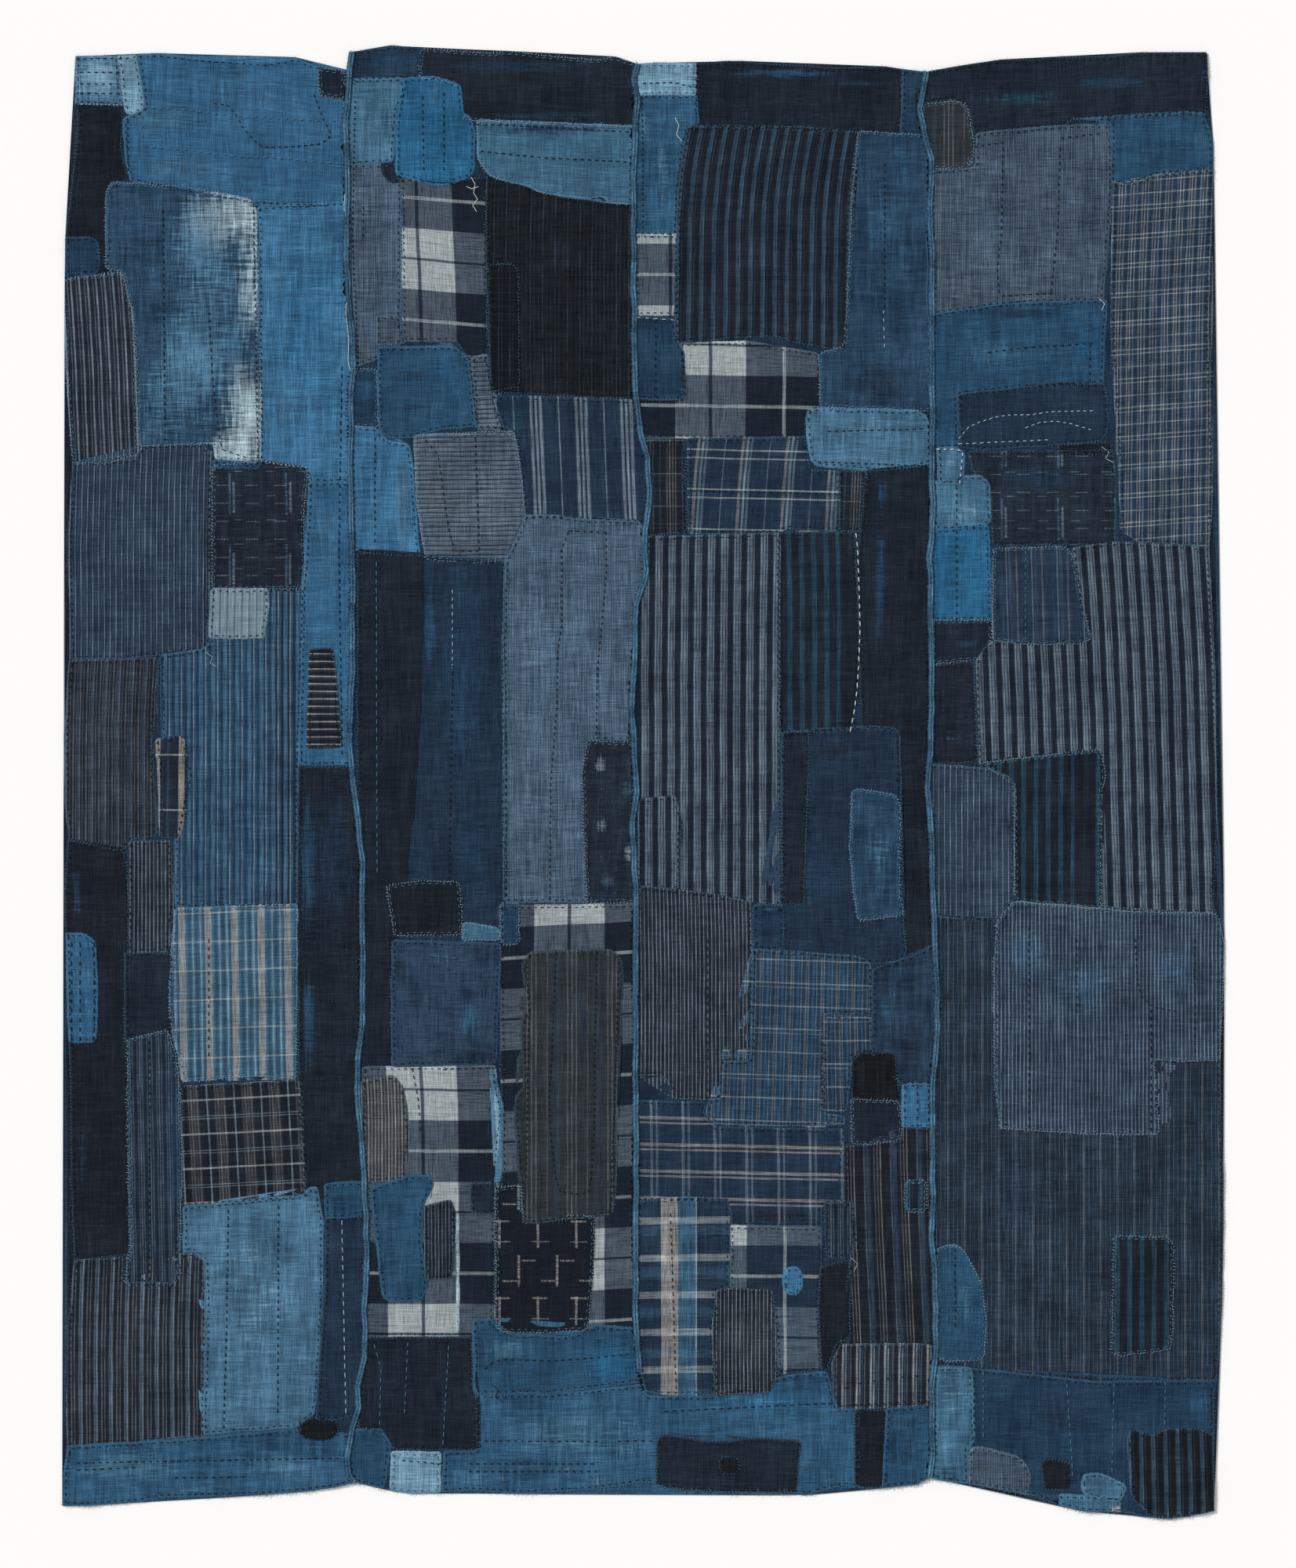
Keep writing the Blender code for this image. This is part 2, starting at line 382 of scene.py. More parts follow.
def nearest(points, outline):
    """For each point, its nearest place on the closed outline, and how far off that is."""
    points, outline = np.asarray(points, float), np.asarray(outline, float)
    steps = np.ceil(np.hypot(*(np.roll(outline, -1, 0) - outline).T) / 4).astype(int)
    shares = np.concatenate([np.arange(n) / n for n in steps])[:, None]
    starts, ends = np.repeat(outline, steps, 0), np.repeat(np.roll(outline, -1, 0), steps, 0)
    fine = starts * (1 - shares) + ends * shares
    tree = KDTree(len(fine))
    for k, (x, y) in enumerate(fine):
        tree.insert((x, y, 0), k)
    tree.balance()
    close = np.array([tree.find((x, y, 0))[1] for x, y in points], int)
    best, found = np.full(len(points), np.inf), points.copy()
    for first in (close - 1, close):
        start, end = fine[first % len(fine)], fine[(first + 1) % len(fine)]
        way = end - start
        share = np.sum((points - start) * way, 1) / np.maximum(np.sum(way * way, 1), 1e-9)
        place = start + np.clip(share, 0, 1)[:, None] * way
        gap = np.hypot(*(points - place).T)
        closer = gap < best
        best[closer], found[closer] = gap[closer], place[closer]
    return found, best


def held_in(points, outline):
    """Points with those outside the outline brought back onto it, without repeats."""
    out = ~inside(points, outline)
    points = points.copy()
    points[out] = nearest(points[out], outline)[0]
    gaps = np.hypot(*(points - np.roll(points, 1, 0)).T)
    return points[gaps > 0.7]


# Laying the patches

# under and over are the heights in the patch's window of the map, before and after it is laid.
Laid = namedtuple("Laid", "patch outline under over corner mask beyond")


def lay(patch, stack, panels, rng):
    """Lays one patch on the stack of layers, and keeps what its mesh needs."""
    outline = spaced(rounded(patch.outline, patch.corner), EDGE_PITCH)
    outline = held_in(wavered(outline, rng, patch.sway), panels[patch.panel])
    outline = spaced(outline, EDGE_PITCH)
    low = np.maximum(((outline.min(0) - WINDOW_MARGIN) / CELL).astype(int), 0)
    high = ((outline.max(0) + WINDOW_MARGIN) / CELL).astype(int) + 1
    window = stack[low[1] : high[1], low[0] : high[0]]
    rows, columns = np.mgrid[low[1] : high[1], low[0] : high[0]]
    cells = np.stack([columns.ravel(), rows.ravel()], 1) * CELL
    mask = inside(cells, outline).reshape(window.shape)
    beyond = ~inside(cells, panels[patch.panel]).reshape(window.shape)
    under = window.copy()
    over = np.maximum(softened(window, 2) + PATCH_THICKNESS, window + LEAST_LAYER)
    if patch.hem:
        reach = round(HEM_WIDTH / CELL)
        core = softened(mask.astype(float), reach)
        over = over + HEM_RISE * np.clip(2.2 - 2.2 * core, 0, 1)
    window[mask] = over[mask]
    return Laid(patch, outline, under, over, low * CELL, mask, beyond)


def hidden_cells(laid, cover):
    """The part of the cover map that lies in a patch's window, as a view on it."""
    rows, columns = (round(v / CELL) for v in laid.corner[::-1])
    height, width = laid.mask.shape
    return cover[rows : rows + height, columns : columns + width]


def triangles_in(outline, inner):
    """Triangles that fill the outline and use the inner points too, as (points, faces)."""
    points = np.vstack([outline, inner])
    loop = list(range(len(outline)))
    vectors = [(float(x), float(-y)) for x, y in points]
    made = delaunay_2d_cdt([Vector(v) for v in vectors], [], [loop[::-1]], 1, 1e-4, False)
    places = np.array([tuple(v) for v in made[0]])
    return places * (1, -1), np.array(made[2], int).reshape(-1, 3)


def inner_points(outline, pitch, edge_gap):
    """An even field of points inside the outline, staggered row by row."""
    low, high = outline.min(0), outline.max(0)
    rows = np.arange(low[1] + pitch / 2, high[1], pitch * 0.87)
    columns = np.arange(low[0] + pitch / 2, high[0] + pitch, pitch)
    x, y = np.meshgrid(columns, rows)
    x = x - pitch / 2 * (np.arange(len(rows)) % 2)[:, None]
    points = np.stack([x.ravel(), y.ravel()], 1)
    points = points[inside(points, outline)]
    return points[nearest(points, outline)[1] > edge_gap]


def rim_points(outline):
    """A second row of points, a rim's width inside the outline."""
    points = outline - outward(outline) * RIM_WIDTH
    points = points[inside(points, outline)]
    return points[nearest(points, outline)[1] > 0.75 * RIM_WIDTH]


def grain_of(patch, points):
    """Where points lie on the patch's own cloth, across and along its warp, in millimetres."""
    low, high = np.min(patch.outline, 0), np.max(patch.outline, 0)
    middle, half = (low + high) / 2, (high - low) / 2
    x, y = (points - middle).T
    across = x - y * math.tan(math.radians(patch.lean))
    along = y + x * math.tan(math.radians(patch.rise))
    across = across - patch.bow * np.clip(-y / half[1], 0, 1) ** 2
    return np.stack([across, along], 1) + middle - patch.shift


class Piece:
    """A piece of the scene being gathered from patches of one kind."""

    def __init__(self):
        self.points, self.faces, self.grain, self.rims = [], [], [], []
        self.dyes, self.stains, self.cloths, self.slots = [], [], [], []
        self.count = 0

    def add(self, xyz, faces, grain, colours, stains, rims, cloth):
        if cloth not in self.cloths:
            self.cloths.append(cloth)
        self.points.append(xyz)
        self.faces.append(faces + self.count)
        self.grain.append(grain)
        self.dyes.append(colours)
        self.stains.append(stains)
        self.rims.append(rims)
        self.slots += [self.cloths.index(cloth)] * len(faces)
        self.count += len(xyz)

    def made(self, name, materials):
        points, faces = np.vstack(self.points), np.vstack(self.faces)
        mesh = bpy.data.meshes.new(name)
        mesh.vertices.add(len(points))
        mesh.vertices.foreach_set("co", points.astype(np.float32).ravel())
        mesh.loops.add(faces.size)
        mesh.loops.foreach_set("vertex_index", faces.astype(np.int32).ravel())
        mesh.polygons.add(len(faces))
        mesh.polygons.foreach_set("loop_start", np.arange(0, faces.size, 3, dtype=np.int32))
        mesh.polygons.foreach_set("material_index", np.array(self.slots, np.int32))
        mesh.update(calc_edges=True)
        mesh.validate()
        grain = np.vstack(self.grain)[faces.ravel()] * MM
        mesh.uv_layers.new(name="grain").data.foreach_set("uv", grain.astype(np.float32).ravel())
        for name_of, colours in (("dye", self.dyes), ("stain", self.stains)):
            colours = np.vstack(colours).astype(np.float32).ravel()
            mesh.attributes.new(name_of, "FLOAT_COLOR", "POINT").data.foreach_set("color", colours)
        rims = np.concatenate(self.rims).astype(np.float32)
        mesh.attributes.new("rim", "FLOAT", "POINT").data.foreach_set("value", rims)
        for cloth in self.cloths:
            mesh.materials.append(materials[cloth])
        mesh.shade_smooth()
        return linked(name, mesh)


def stained(patch, points):
    """The colour of the patch's faded and stained places at each point, its share as the alpha."""
    weights = np.zeros((len(points), 1))
    colours, left = np.zeros((len(points), 3)), np.ones((len(points), 1))
    for stain in patch.stains:
        x, y = (points - (stain.across, stain.down)).T
        share = stain.strength * bell(np.hypot(x / stain.wide, y / stain.tall))[:, None]
        weights += share + 1e-4
        colours += (share + 1e-4) * np.array(dye(stain.dye)[:3])
        left *= 1 - share
    return np.hstack([colours / np.maximum(weights, 1e-4), 1 - left])


def patch_mesh(laid, lift, covered, panel):
    """The mesh of a laid patch where it shows, as what Piece.add takes."""
    patch = laid.patch
    inner = np.vstack([rim_points(laid.outline), inner_points(laid.outline, POINT_PITCH, INNER_GAP)])
    points, faces = triangles_in(laid.outline, inner)
    local = points - laid.corner
    middles = local[faces].mean(1)
    faces = faces[sample(covered.astype(float), *middles.T) < COVERED]
    from_edge = nearest(points, laid.outline)[1]
    on_edge = from_edge < ON_EDGE
    height = sample(laid.over, *local.T)
    height[on_edge] = sample(laid.under, *local[on_edge].T) - EDGE_TUCK
    at_side = on_edge & (nearest(points, panel)[1] < AT_SIDE)
    height[at_side] = SIDE_HEIGHT
    height = height + sample(lift, *points.T)
    x, y = scene_xy(*points.T)
    rim = np.clip(1 - from_edge / WORN_WIDTH, 0, 1) * patch.rim * WORN_SHARE
    xyz = np.stack([x, y, height * MM], 1)
    colours = np.tile(dye(patch.dye), (len(points), 1))
    return xyz, faces, grain_of(patch, points), colours, stained(patch, points), rim, patch.cloth


# Materials

YARN_WIDTH = 1.3  # real yarns lie 0.5 mm apart, and this is the finest that shows here
STAIN_STREAK = 2.6
# Places that fade more: their size across and along the warp, from where to where in the noise
# they start, and how strongly.
FADING = ((7, 95, 0.42, 0.75, 1.0), (80, 6, 0.42, 0.75, 0.8), (60, 60, 0.35, 0.72, 1.1))
UNFADED, FADED, LIFTED = (0.57, 0.6, 0.65, 1), (1.42, 1.44, 1.42, 1), (0.006, 0.009, 0.011, 1)


def add(tree, kind, inputs=None, **settings):
    """Adds a node with its settings. An input is a value, or the output socket that feeds it."""
    node = tree.nodes.new(kind)
    for name, value in settings.items():
        setattr(node, name, value)
    for socket, value in (inputs or {}).items():
        if isinstance(value, bpy.types.NodeSocket):
            tree.links.new(value, node.inputs[socket])
        else:
            node.inputs[socket].default_value = value
    return node


def plus(tree, first, second):
    return add(tree, "ShaderNodeMath", {0: first, 1: second}, operation="ADD").outputs[0]


def times(tree, first, second):
    return add(tree, "ShaderNodeMath", {0: first, 1: second}, operation="MULTIPLY").outputs[0]


def ranged(tree, value, low, high, to_low, to_high):
    """A value's place between low and high, taken to the same place in another range."""
    return add(tree, "ShaderNodeMapRange", {
        0: value, 1: low, 2: high, 3: to_low, 4: to_high}).outputs[0]


def mixed(tree, share, first, second, blend="MIX"):
    """Two colours mixed by the second one's share, or blended."""
    return add(tree, "ShaderNodeMix", {"Factor": share, 6: first, 7: second},
               data_type="RGBA", blend_type=blend).outputs[2]


def yarn_noise(tree, along, scale_u, scale_v, detail=2.0):
    """Noise drawn out along the yarns, from its feature size in millimetres each way."""
    sized = add(tree, "ShaderNodeVectorMath", {0: along, 1: (1 / scale_u, 1 / scale_v, 1)},
                operation="MULTIPLY")
    noise = add(tree, "ShaderNodeTexNoise", {"Vector": sized.outputs[0], "Scale": 1.0,
                                             "Detail": detail, "Roughness": 0.55})
    return noise.outputs["Fac"]


def thread_places(tree, drift):
    """Places across and along the warp in millimetres, a little unevenly beaten."""
    grain = add(tree, "ShaderNodeUVMap", uv_map="grain").outputs[0]
    flat = add(tree, "ShaderNodeVectorMath", {0: grain, 1: (1000, 1000, 0)}, operation="MULTIPLY")
    waves = add(tree, "ShaderNodeTexNoise", {"Vector": grain, "Scale": 9.0, "Detail": 2.0})
    swing = add(tree, "ShaderNodeMapRange", {
        "Vector": waves.outputs["Color"], 7: (0, 0, 0), 8: (1, 1, 1), 9: (-drift,) * 3,
        10: (drift,) * 3}, data_type="FLOAT_VECTOR")
    return add(tree, "ShaderNodeVectorMath", {0: flat.outputs[0], 1: swing.outputs["Vector"]},
               operation="ADD").outputs[0]


def stained_ground(tree, threads):
    """The patch's dye, with its stained places broken into streaks along the yarns."""
    ground = add(tree, "ShaderNodeAttribute", attribute_name="dye").outputs["Color"]
    stain = add(tree, "ShaderNodeAttribute", attribute_name="stain").outputs
    streaks = plus(tree, yarn_noise(tree, threads, STAIN_STREAK, 46, 3),
                   yarn_noise(tree, threads, 30, STAIN_STREAK, 3))
    broken = add(tree, "ShaderNodeMath", {0: streaks, 1: 1.3, 2: -1.3}, operation="MULTIPLY_ADD")
    share = ranged(tree, plus(tree, broken.outputs[0], stain["Alpha"]), 0.3, 0.75, 0.0, 1.0)
    return mixed(tree, share, ground, stain["Color"])


def band_share(tree, place, band):
    """How much of a thread stripe shows at a place across it: 1 on the stripe, 0 off it."""
    moved = add(tree, "ShaderNodeMath", {0: place, 1: band.centre}, operation="SUBTRACT")
    away = add(tree, "ShaderNodeMath", {0: moved.outputs[0], 1: band.pitch / 2},
               operation="PINGPONG")
    soft = min(0.45, 0.3 * band.width)
    return ranged(tree, away.outputs[0], band.width / 2 + soft, band.width / 2 - soft, 0.0,
                  band.strength)


def banded(tree, ground, place, bands, yarns):
    """ground with stripes of dyed yarn over it, each a little broken by the yarn's unevenness."""
    for band in bands:
        share = times(tree, band_share(tree, place, band), yarns)
        ground = mixed(tree, share, ground, dye(band.dye))
    return ground


def woven(tree, cloth, ground, threads, yarns):
    """ground with the cloth's stripes and resist-dyed marks."""
    apart = add(tree, "ShaderNodeSeparateXYZ", {0: threads}).outputs
    whole, across_whole = (ranged(tree, yarn, 0.28, 0.5, 0.45, 1.0) for yarn in yarns)
    colour = banded(tree, ground, apart[0], cloth.warp, whole)
    if cloth.weft:
        filling = banded(tree, ground, apart[1], cloth.weft, across_whole)
        colour = mixed(tree, cloth.weft_share, colour, filling)
    for mark in cloth.marks:
        wide = Band(mark.across, mark.wide, mark.pitch_across, mark.dye, 1)
        tall = Band(mark.down, mark.tall, mark.pitch_down, mark.dye, mark.strength)
        both = times(tree, band_share(tree, apart[0], wide), band_share(tree, apart[1], tall))
        streak = (7, 1.6) if mark.wide < mark.tall else (1.6, 7)
        least = 0.85 if min(mark.wide, mark.tall) > 20 else 0.15
        patchy = ranged(tree, yarn_noise(tree, threads, *streak), 0.36, 0.6, least, 1.0)
        colour = mixed(tree, times(tree, both, patchy), colour, dye(mark.dye))
    return colour


def weathered(tree, colour, fade, threads):
    """colour, lifted where it has faded: in streaks along the warp, bars, clouds and at hems."""
    faded = 0.0
    for wide, tall, low, high, strength in FADING:
        place = yarn_noise(tree, threads, wide, tall, 3)
        faded = plus(tree, faded, ranged(tree, place, low, high, 0.0, strength * fade))
    rim = add(tree, "ShaderNodeAttribute", attribute_name="rim").outputs["Fac"]
    faded = plus(tree, faded, times(tree, rim, yarn_noise(tree, threads, 4, 4)))
    darker = mixed(tree, 1.0, colour, UNFADED, "MULTIPLY")
    lighter = mixed(tree, 1.0, colour, FADED, "MULTIPLY")
    return mixed(tree, faded, darker, mixed(tree, 1.0, lighter, LIFTED, "ADD"))


def cotton(name, cloth):
    """Hand-loomed cotton, yarn-dyed with indigo: matt, slubby, streaked where it has faded."""
    material = bpy.data.materials.new(name)
    material.use_nodes = True
    tree = material.node_tree
    threads = thread_places(tree, cloth.drift)
    yarns = yarn_noise(tree, threads, YARN_WIDTH, 34), yarn_noise(tree, threads, 30, YARN_WIDTH)
    colour = woven(tree, cloth, stained_ground(tree, threads), threads, yarns)
    colour = weathered(tree, colour, cloth.fade, threads)

    # Slubs and dark gaps between the yarns, as light and dark flecks both ways.
    flecks = plus(tree, *yarns)
    value = ranged(tree, flecks, 0.62, 1.38, 0.93 - 1.4 * cloth.slub, 0.93 + 1.4 * cloth.slub)
    colour = add(tree, "ShaderNodeHueSaturation", {"Value": value, "Color": colour})
    puckers = yarn_noise(tree, threads, 6, 11, 3)
    bump = add(tree, "ShaderNodeBump", {
        "Strength": 0.9, "Distance": 0.0014, "Height": plus(tree, flecks, puckers)})
    shader = tree.nodes["Principled BSDF"]
    tree.links.new(colour.outputs[0], shader.inputs["Base Color"])
    tree.links.new(bump.outputs[0], shader.inputs["Normal"])
    shader.inputs["Roughness"].default_value = 0.93
    shader.inputs["Specular IOR Level"].default_value = 0.12
    return material


def thread_material(name, shade):
    """Sewing cotton: matt spun yarn, its twist too fine to show."""
    material = bpy.data.materials.new(name)
    material.use_nodes = True
    shader = material.node_tree.nodes["Principled BSDF"]
    shader.inputs["Base Color"].default_value = dye(shade)
    shader.inputs["Roughness"].default_value = 0.9
    shader.inputs["Specular IOR Level"].default_value = 0.2
    return material


# Cloths

# A band is a stripe of dyed yarn: where it lies across the cloth, its width, how far it is to the
# next one like it, its colour and how fully it covers. A mark is a short resist-dyed stroke.
Band = namedtuple("Band", "centre width pitch dye strength", defaults=(0.85,))
Mark = namedtuple("Mark", "across down wide tall pitch_across pitch_down dye strength")
ONE = 4000  # a pitch so wide that the band comes only once

# The kind is the group of pieces that patches of this cloth are gathered in. fade, slub and drift
# are how streaked, how coarse and how unevenly beaten the cloth is.
Cloth = namedtuple("Cloth", "kind warp weft weft_share marks fade slub drift",
                   defaults=((), (), 0.5, (), 0.34, 0.36, 1.0))
CLOTHS = {
    "plain_indigo_cotton": Cloth("plain"),
    "dark_indigo_cotton": Cloth("plain", fade=0.3, slub=0.42),
    "washed_indigo_cotton": Cloth("faded", fade=0.6, slub=0.36),
    "streaked_indigo_cotton": Cloth("faded", fade=0.85, slub=0.42),
    "chambray_cotton": Cloth("faded", warp=(
        Band(0, 1.5, 3.1, "ash", 0.35), Band(1.7, 1.1, 7.7, "night", 0.35)), fade=0.38, slub=0.46),
    "resist_spotted_cotton": Cloth("plain", fade=0.5, slub=0.45),
    "grey_pair_striped_cotton": Cloth("striped", warp=(
        Band(-4.2, 1.2, 10.8, "taupe"), Band(0, 2.1, 10.8, "ash"))),
    "fine_blue_striped_cotton": Cloth("striped", warp=(
        Band(4, 2.2, 7.4, "slate", 0.7), Band(0, 1.1, 7.4, "ash", 0.8))),
    "blue_loom_striped_cotton": Cloth("striped", warp=(
        Band(363, 30, ONE, "ink", 0.9), Band(233.5, 3.2, 15.4, "indigo", 0.9),
        Band(225.5, 5, 15.4, "wash", 0.85), Band(216, 1.3, 15.4, "ash", 0.95))),
    "brown_striped_cotton": Cloth("striped", warp=(
        Band(6.5, 3, 16.6, "slate", 0.8), Band(0, 1.5, 8.3, "taupe", 0.8),
        Band(3.6, 1.0, 8.3, "taupe", 0.6))),
    "pin_striped_cotton": Cloth("striped", warp=(
        Band(0, 1.2, 5.0, "ash", 0.8), Band(2.5, 0.8, 10, "taupe", 0.3))),
    "rib_striped_cotton": Cloth("striped", warp=(
        Band(0, 1.6, 6.1, "chambray", 0.75), Band(3, 0.9, 12.2, "ash", 0.7))),
    "pale_striped_cotton": Cloth("striped", warp=(
        Band(0, 2.4, 9.4, "wash", 0.8), Band(4, 1.1, 9.4, "mid", 0.5)), fade=0.2, slub=0.22),
    "brown_slate_striped_cotton": Cloth("striped", warp=(
        Band(0, 3.6, 19.5, "slate", 0.95), Band(1, 1.2, 19.5, "ash", 0.7),
        Band(7.5, 1.6, 9.75, "taupe", 0.85), Band(11.5, 1.1, 9.75, "ash", 0.5))),
    "sand_and_blue_striped_cotton": Cloth("striped", warp=(
        Band(9.5, 4, 33.7, "midnight", 0.75), Band(19, 4, 33.7, "midnight", 0.75),
        Band(28, 2.5, 33.7, "midnight", 0.6), Band(0, 9, 33.7, "sand", 1),
        Band(14.2, 1.8, 33.7, "ice", 0.85), Band(24, 2.4, 33.7, "ice", 0.8)),
        weft=(Band(0, 2, 37, "white", 1),), weft_share=0.3),
    "sand_and_blue_grouped_cotton": Cloth("striped", warp=(
        Band(0, 18, 57.5, "slate", 0.7), Band(-6, 3.4, 57.5, "ash", 0.8),
        Band(-2.8, 1.3, 57.5, "ink", 0.9), Band(0, 2.8, 57.5, "ash", 0.95),
        Band(3, 1.3, 57.5, "ink", 0.7), Band(6, 3.8, 57.5, "ash", 0.75),
        Band(29, 1.4, 57.5, "ash", 0.9))),
    "grey_pin_striped_cotton": Cloth("striped", warp=(
        Band(0, 1.9, 4.3, "ink", 0.9), Band(2.2, 1.1, 8.6, "sand", 0.6)), slub=0.4),
    "black_fine_striped_cotton": Cloth("striped", warp=(
        Band(0, 1.1, 4.5, "ash", 0.6), Band(2, 1, 9, "slate", 0.6))),
    "long_grey_striped_cotton": Cloth("striped", warp=(
        Band(0, 1.6, 51.5, "taupe", 0.95), Band(-5.6, 1.6, 51.5, "taupe", 0.85),
        Band(5.6, 1.6, 51.5, "taupe", 0.85), Band(20, 1.5, 51.5, "taupe", 0.6),
        Band(-18, 4, 51.5, "slate", 0.35)), fade=0.25),
    "black_and_blue_striped_cotton": Cloth("striped", warp=(
        Band(0, 5.4, 15.6, "slate", 0.75), Band(-1.6, 1, 15.6, "teal", 0.9),
        Band(2, 1.2, 15.6, "chambray", 0.6), Band(5.6, 1, 15.6, "storm", 0.9))),
    "grey_loom_striped_cotton": Cloth("striped", warp=(
        Band(0, 10, 16.7, "slate", 0.45), Band(-3, 2.2, 16.7, "ash", 0.8),
        Band(0.6, 2.6, 16.7, "ash", 0.6), Band(4, 1.2, 16.7, "ash", 0.7))),
    "teal_striped_cotton": Cloth("striped", warp=(
        Band(0, 5, 15.8, "teal", 0.75), Band(3, 1, 15.8, "slate", 0.8),
        Band(78, 26, ONE, "soot", 0.9))),
    "black_pin_striped_cotton": Cloth("striped", warp=(
        Band(0, 1.3, 15.7, "slate", 0.5), Band(5, 1.6, 15.7, "night", 0.8),
        Band(10.5, 1.6, 15.7, "night", 0.7)), fade=0.3, slub=0.5),
    "brown_triple_striped_cotton": Cloth("striped", warp=(
        Band(-13, 8, 34, "storm", 0.8), Band(0, 1.3, 34, "taupe", 0.95), Band(-4, 1.2, 34, "taupe", 0.8),
        Band(4, 1.2, 34, "sand", 0.6), Band(17, 1.5, 34, "taupe", 0.8),
        Band(21, 3.6, 34, "slate", 0.6)),
        weft=(Band(0, 1.1, 32, "ash", 0.5),), weft_share=0.15),
    "green_grey_striped_cotton": Cloth("striped", warp=(
        Band(0, 3.6, 32.5, "slate", 0.7), Band(-4.5, 1.2, 32.5, "ash", 0.7),
        Band(8.6, 2, 32.5, "taupe", 0.8), Band(-10, 2.4, 32.5, "teal", 0.5))),
    "striped_rib_cotton": Cloth("striped", warp=(
        Band(0, 1.3, 4.9, "ash", 0.6), Band(2.4, 1.2, 4.9, "night", 0.6)), fade=0.5, slub=0.36),
    "brown_rib_cotton": Cloth("striped", warp=(
        Band(0, 1.4, 5.4, "slate", 0.9), Band(2.7, 1.0, 5.4, "storm", 0.8),
        Band(9, 1.4, 21.6, "taupe", 0.8)), fade=0.4, slub=0.4),
    "pale_wide_striped_cotton": Cloth("striped", warp=(
        Band(0, 6, 18, "slate", 0.7), Band(-1, 2, 18, "sand", 0.85), Band(3, 1.4, 18, "ash", 0.9),
        Band(9, 1.2, 18, "taupe", 0.8), Band(6, 1, 18, "chambray", 0.7))),
    "cross_barred_cotton": Cloth("checked", weft=(
        Band(0, 1.5, 9.6, "sand", 0.95), Band(2.6, 1.2, 9.6, "slate", 0.6)), weft_share=1.0),
    "cross_ribbed_cotton": Cloth("checked", weft=(
        Band(0, 2.6, 6.0, "ash", 0.6), Band(2.2, 0.9, 6.0, "sand", 0.4),
        Band(3.8, 1.0, 12.0, "ink", 0.7)), weft_share=0.9, slub=0.42),
    "sand_barred_cotton": Cloth("checked", warp=(
        Band(201, 7, ONE, "sand", 1), Band(231.5, 8, ONE, "sand", 1), Band(214.5, 3.5, ONE, "slate"),
        Band(207.5, 1.3, ONE, "slate")),
        weft=(Band(963, 2, ONE, "white", 1), Band(1033, 2, ONE, "white", 1)), weft_share=0.35),
    "brown_plaid_cotton": Cloth("checked", warp=(
        Band(0, 15, 34.6, "taupe", 0.3), Band(-6, 1.3, 34.6, "taupe", 0.9),
        Band(-2.4, 1.2, 34.6, "sand", 0.7), Band(1.4, 1.2, 34.6, "taupe", 0.9),
        Band(5.2, 1.2, 34.6, "sand", 0.6), Band(18, 1.8, 34.6, "ice", 0.8)),
        weft=(Band(0, 2.3, 43.7, "white", 0.9), Band(21, 1.2, 43.7, "ice", 0.8),
              Band(24.2, 1.2, 43.7, "ice", 0.8)), weft_share=0.42),
    "bold_checked_cotton": Cloth("checked", warp=(
        Band(0, 90, 188, "ash", 1), Band(0, 4.4, 188, "night", 1), Band(94, 4, 188, "white", 1)),
        weft=(Band(0, 78, 156, "ash", 1), Band(0, 3.2, 156, "night", 1),
              Band(78, 4.2, 156, "white", 1)), weft_share=0.48, marks=(
            Mark(-23.6, -20.3, 42.8, 37.4, 188, 156, "white", 0.95),
            Mark(23.6, -20.3, 42.8, 37.4, 188, 156, "white", 0.95),
            Mark(-23.6, 20.3, 42.8, 37.4, 188, 156, "white", 0.95),
            Mark(23.6, 20.3, 42.8, 37.4, 188, 156, "white", 0.95)), fade=0.12, slub=0.3, drift=2.0),
    "black_grid_cotton": Cloth("checked", warp=(
        Band(0, 1.4, 14, "slate", 0.9), Band(4, 0.9, 14, "storm", 0.8)),
        weft=(Band(0, 1.2, 9, "storm", 0.9),), weft_share=0.4, fade=0.1, slub=0.36),
    "grouped_plaid_cotton": Cloth("checked", warp=(
        Band(0, 15, 57, "slate", 0.8), Band(-5, 3.4, 57, "sand", 0.75), Band(1, 2.6, 57, "ice", 0.8),
        Band(6, 2.4, 57, "ash", 0.7), Band(29.5, 1.2, 57, "ash", 0.9)),
        weft=(Band(0, 1.8, 50.5, "white", 1), Band(10.6, 1.8, 50.5, "white", 1)), weft_share=0.4),
    "dark_plaid_cotton": Cloth("checked", warp=(
        Band(0, 1.2, 29, "taupe", 1), Band(3.6, 1.2, 29, "sand", 0.7), Band(7.4, 1.2, 29, "taupe", 1),
        Band(11, 1.2, 29, "taupe", 0.8), Band(-9, 2, 29, "slate", 0.8)),
        weft=(Band(0, 1.4, 42, "ash", 0.8), Band(-20, 1.2, 42, "chambray", 0.8)), weft_share=0.35),
    "small_plaid_cotton": Cloth("checked", warp=(
        Band(0, 2.2, 19.5, "taupe", 0.95), Band(3.2, 1.2, 19.5, "ash", 0.8),
        Band(9, 3, 19.5, "wash", 0.6), Band(13.5, 1.2, 19.5, "ash", 0.7)),
        weft=(Band(0, 1.7, 29.5, "white", 0.8), Band(5.4, 1.5, 59, "ice", 0.8)), weft_share=0.3),
    "sand_plaid_cotton": Cloth("checked", warp=(
        Band(0, 3.6, 40.5, "ash", 0.95), Band(7, 2.8, 40.5, "ash", 0.8)),
        weft=(Band(0, 4, 34, "sand", 1), Band(6.4, 2.4, 34, "sand", 1)), weft_share=0.52),
    "wide_plaid_cotton": Cloth("checked", warp=(
        Band(854, 22, ONE, "sand", 1), Band(876, 22, ONE, "mid", 1), Band(888, 1.6, ONE, "ice", 1)),
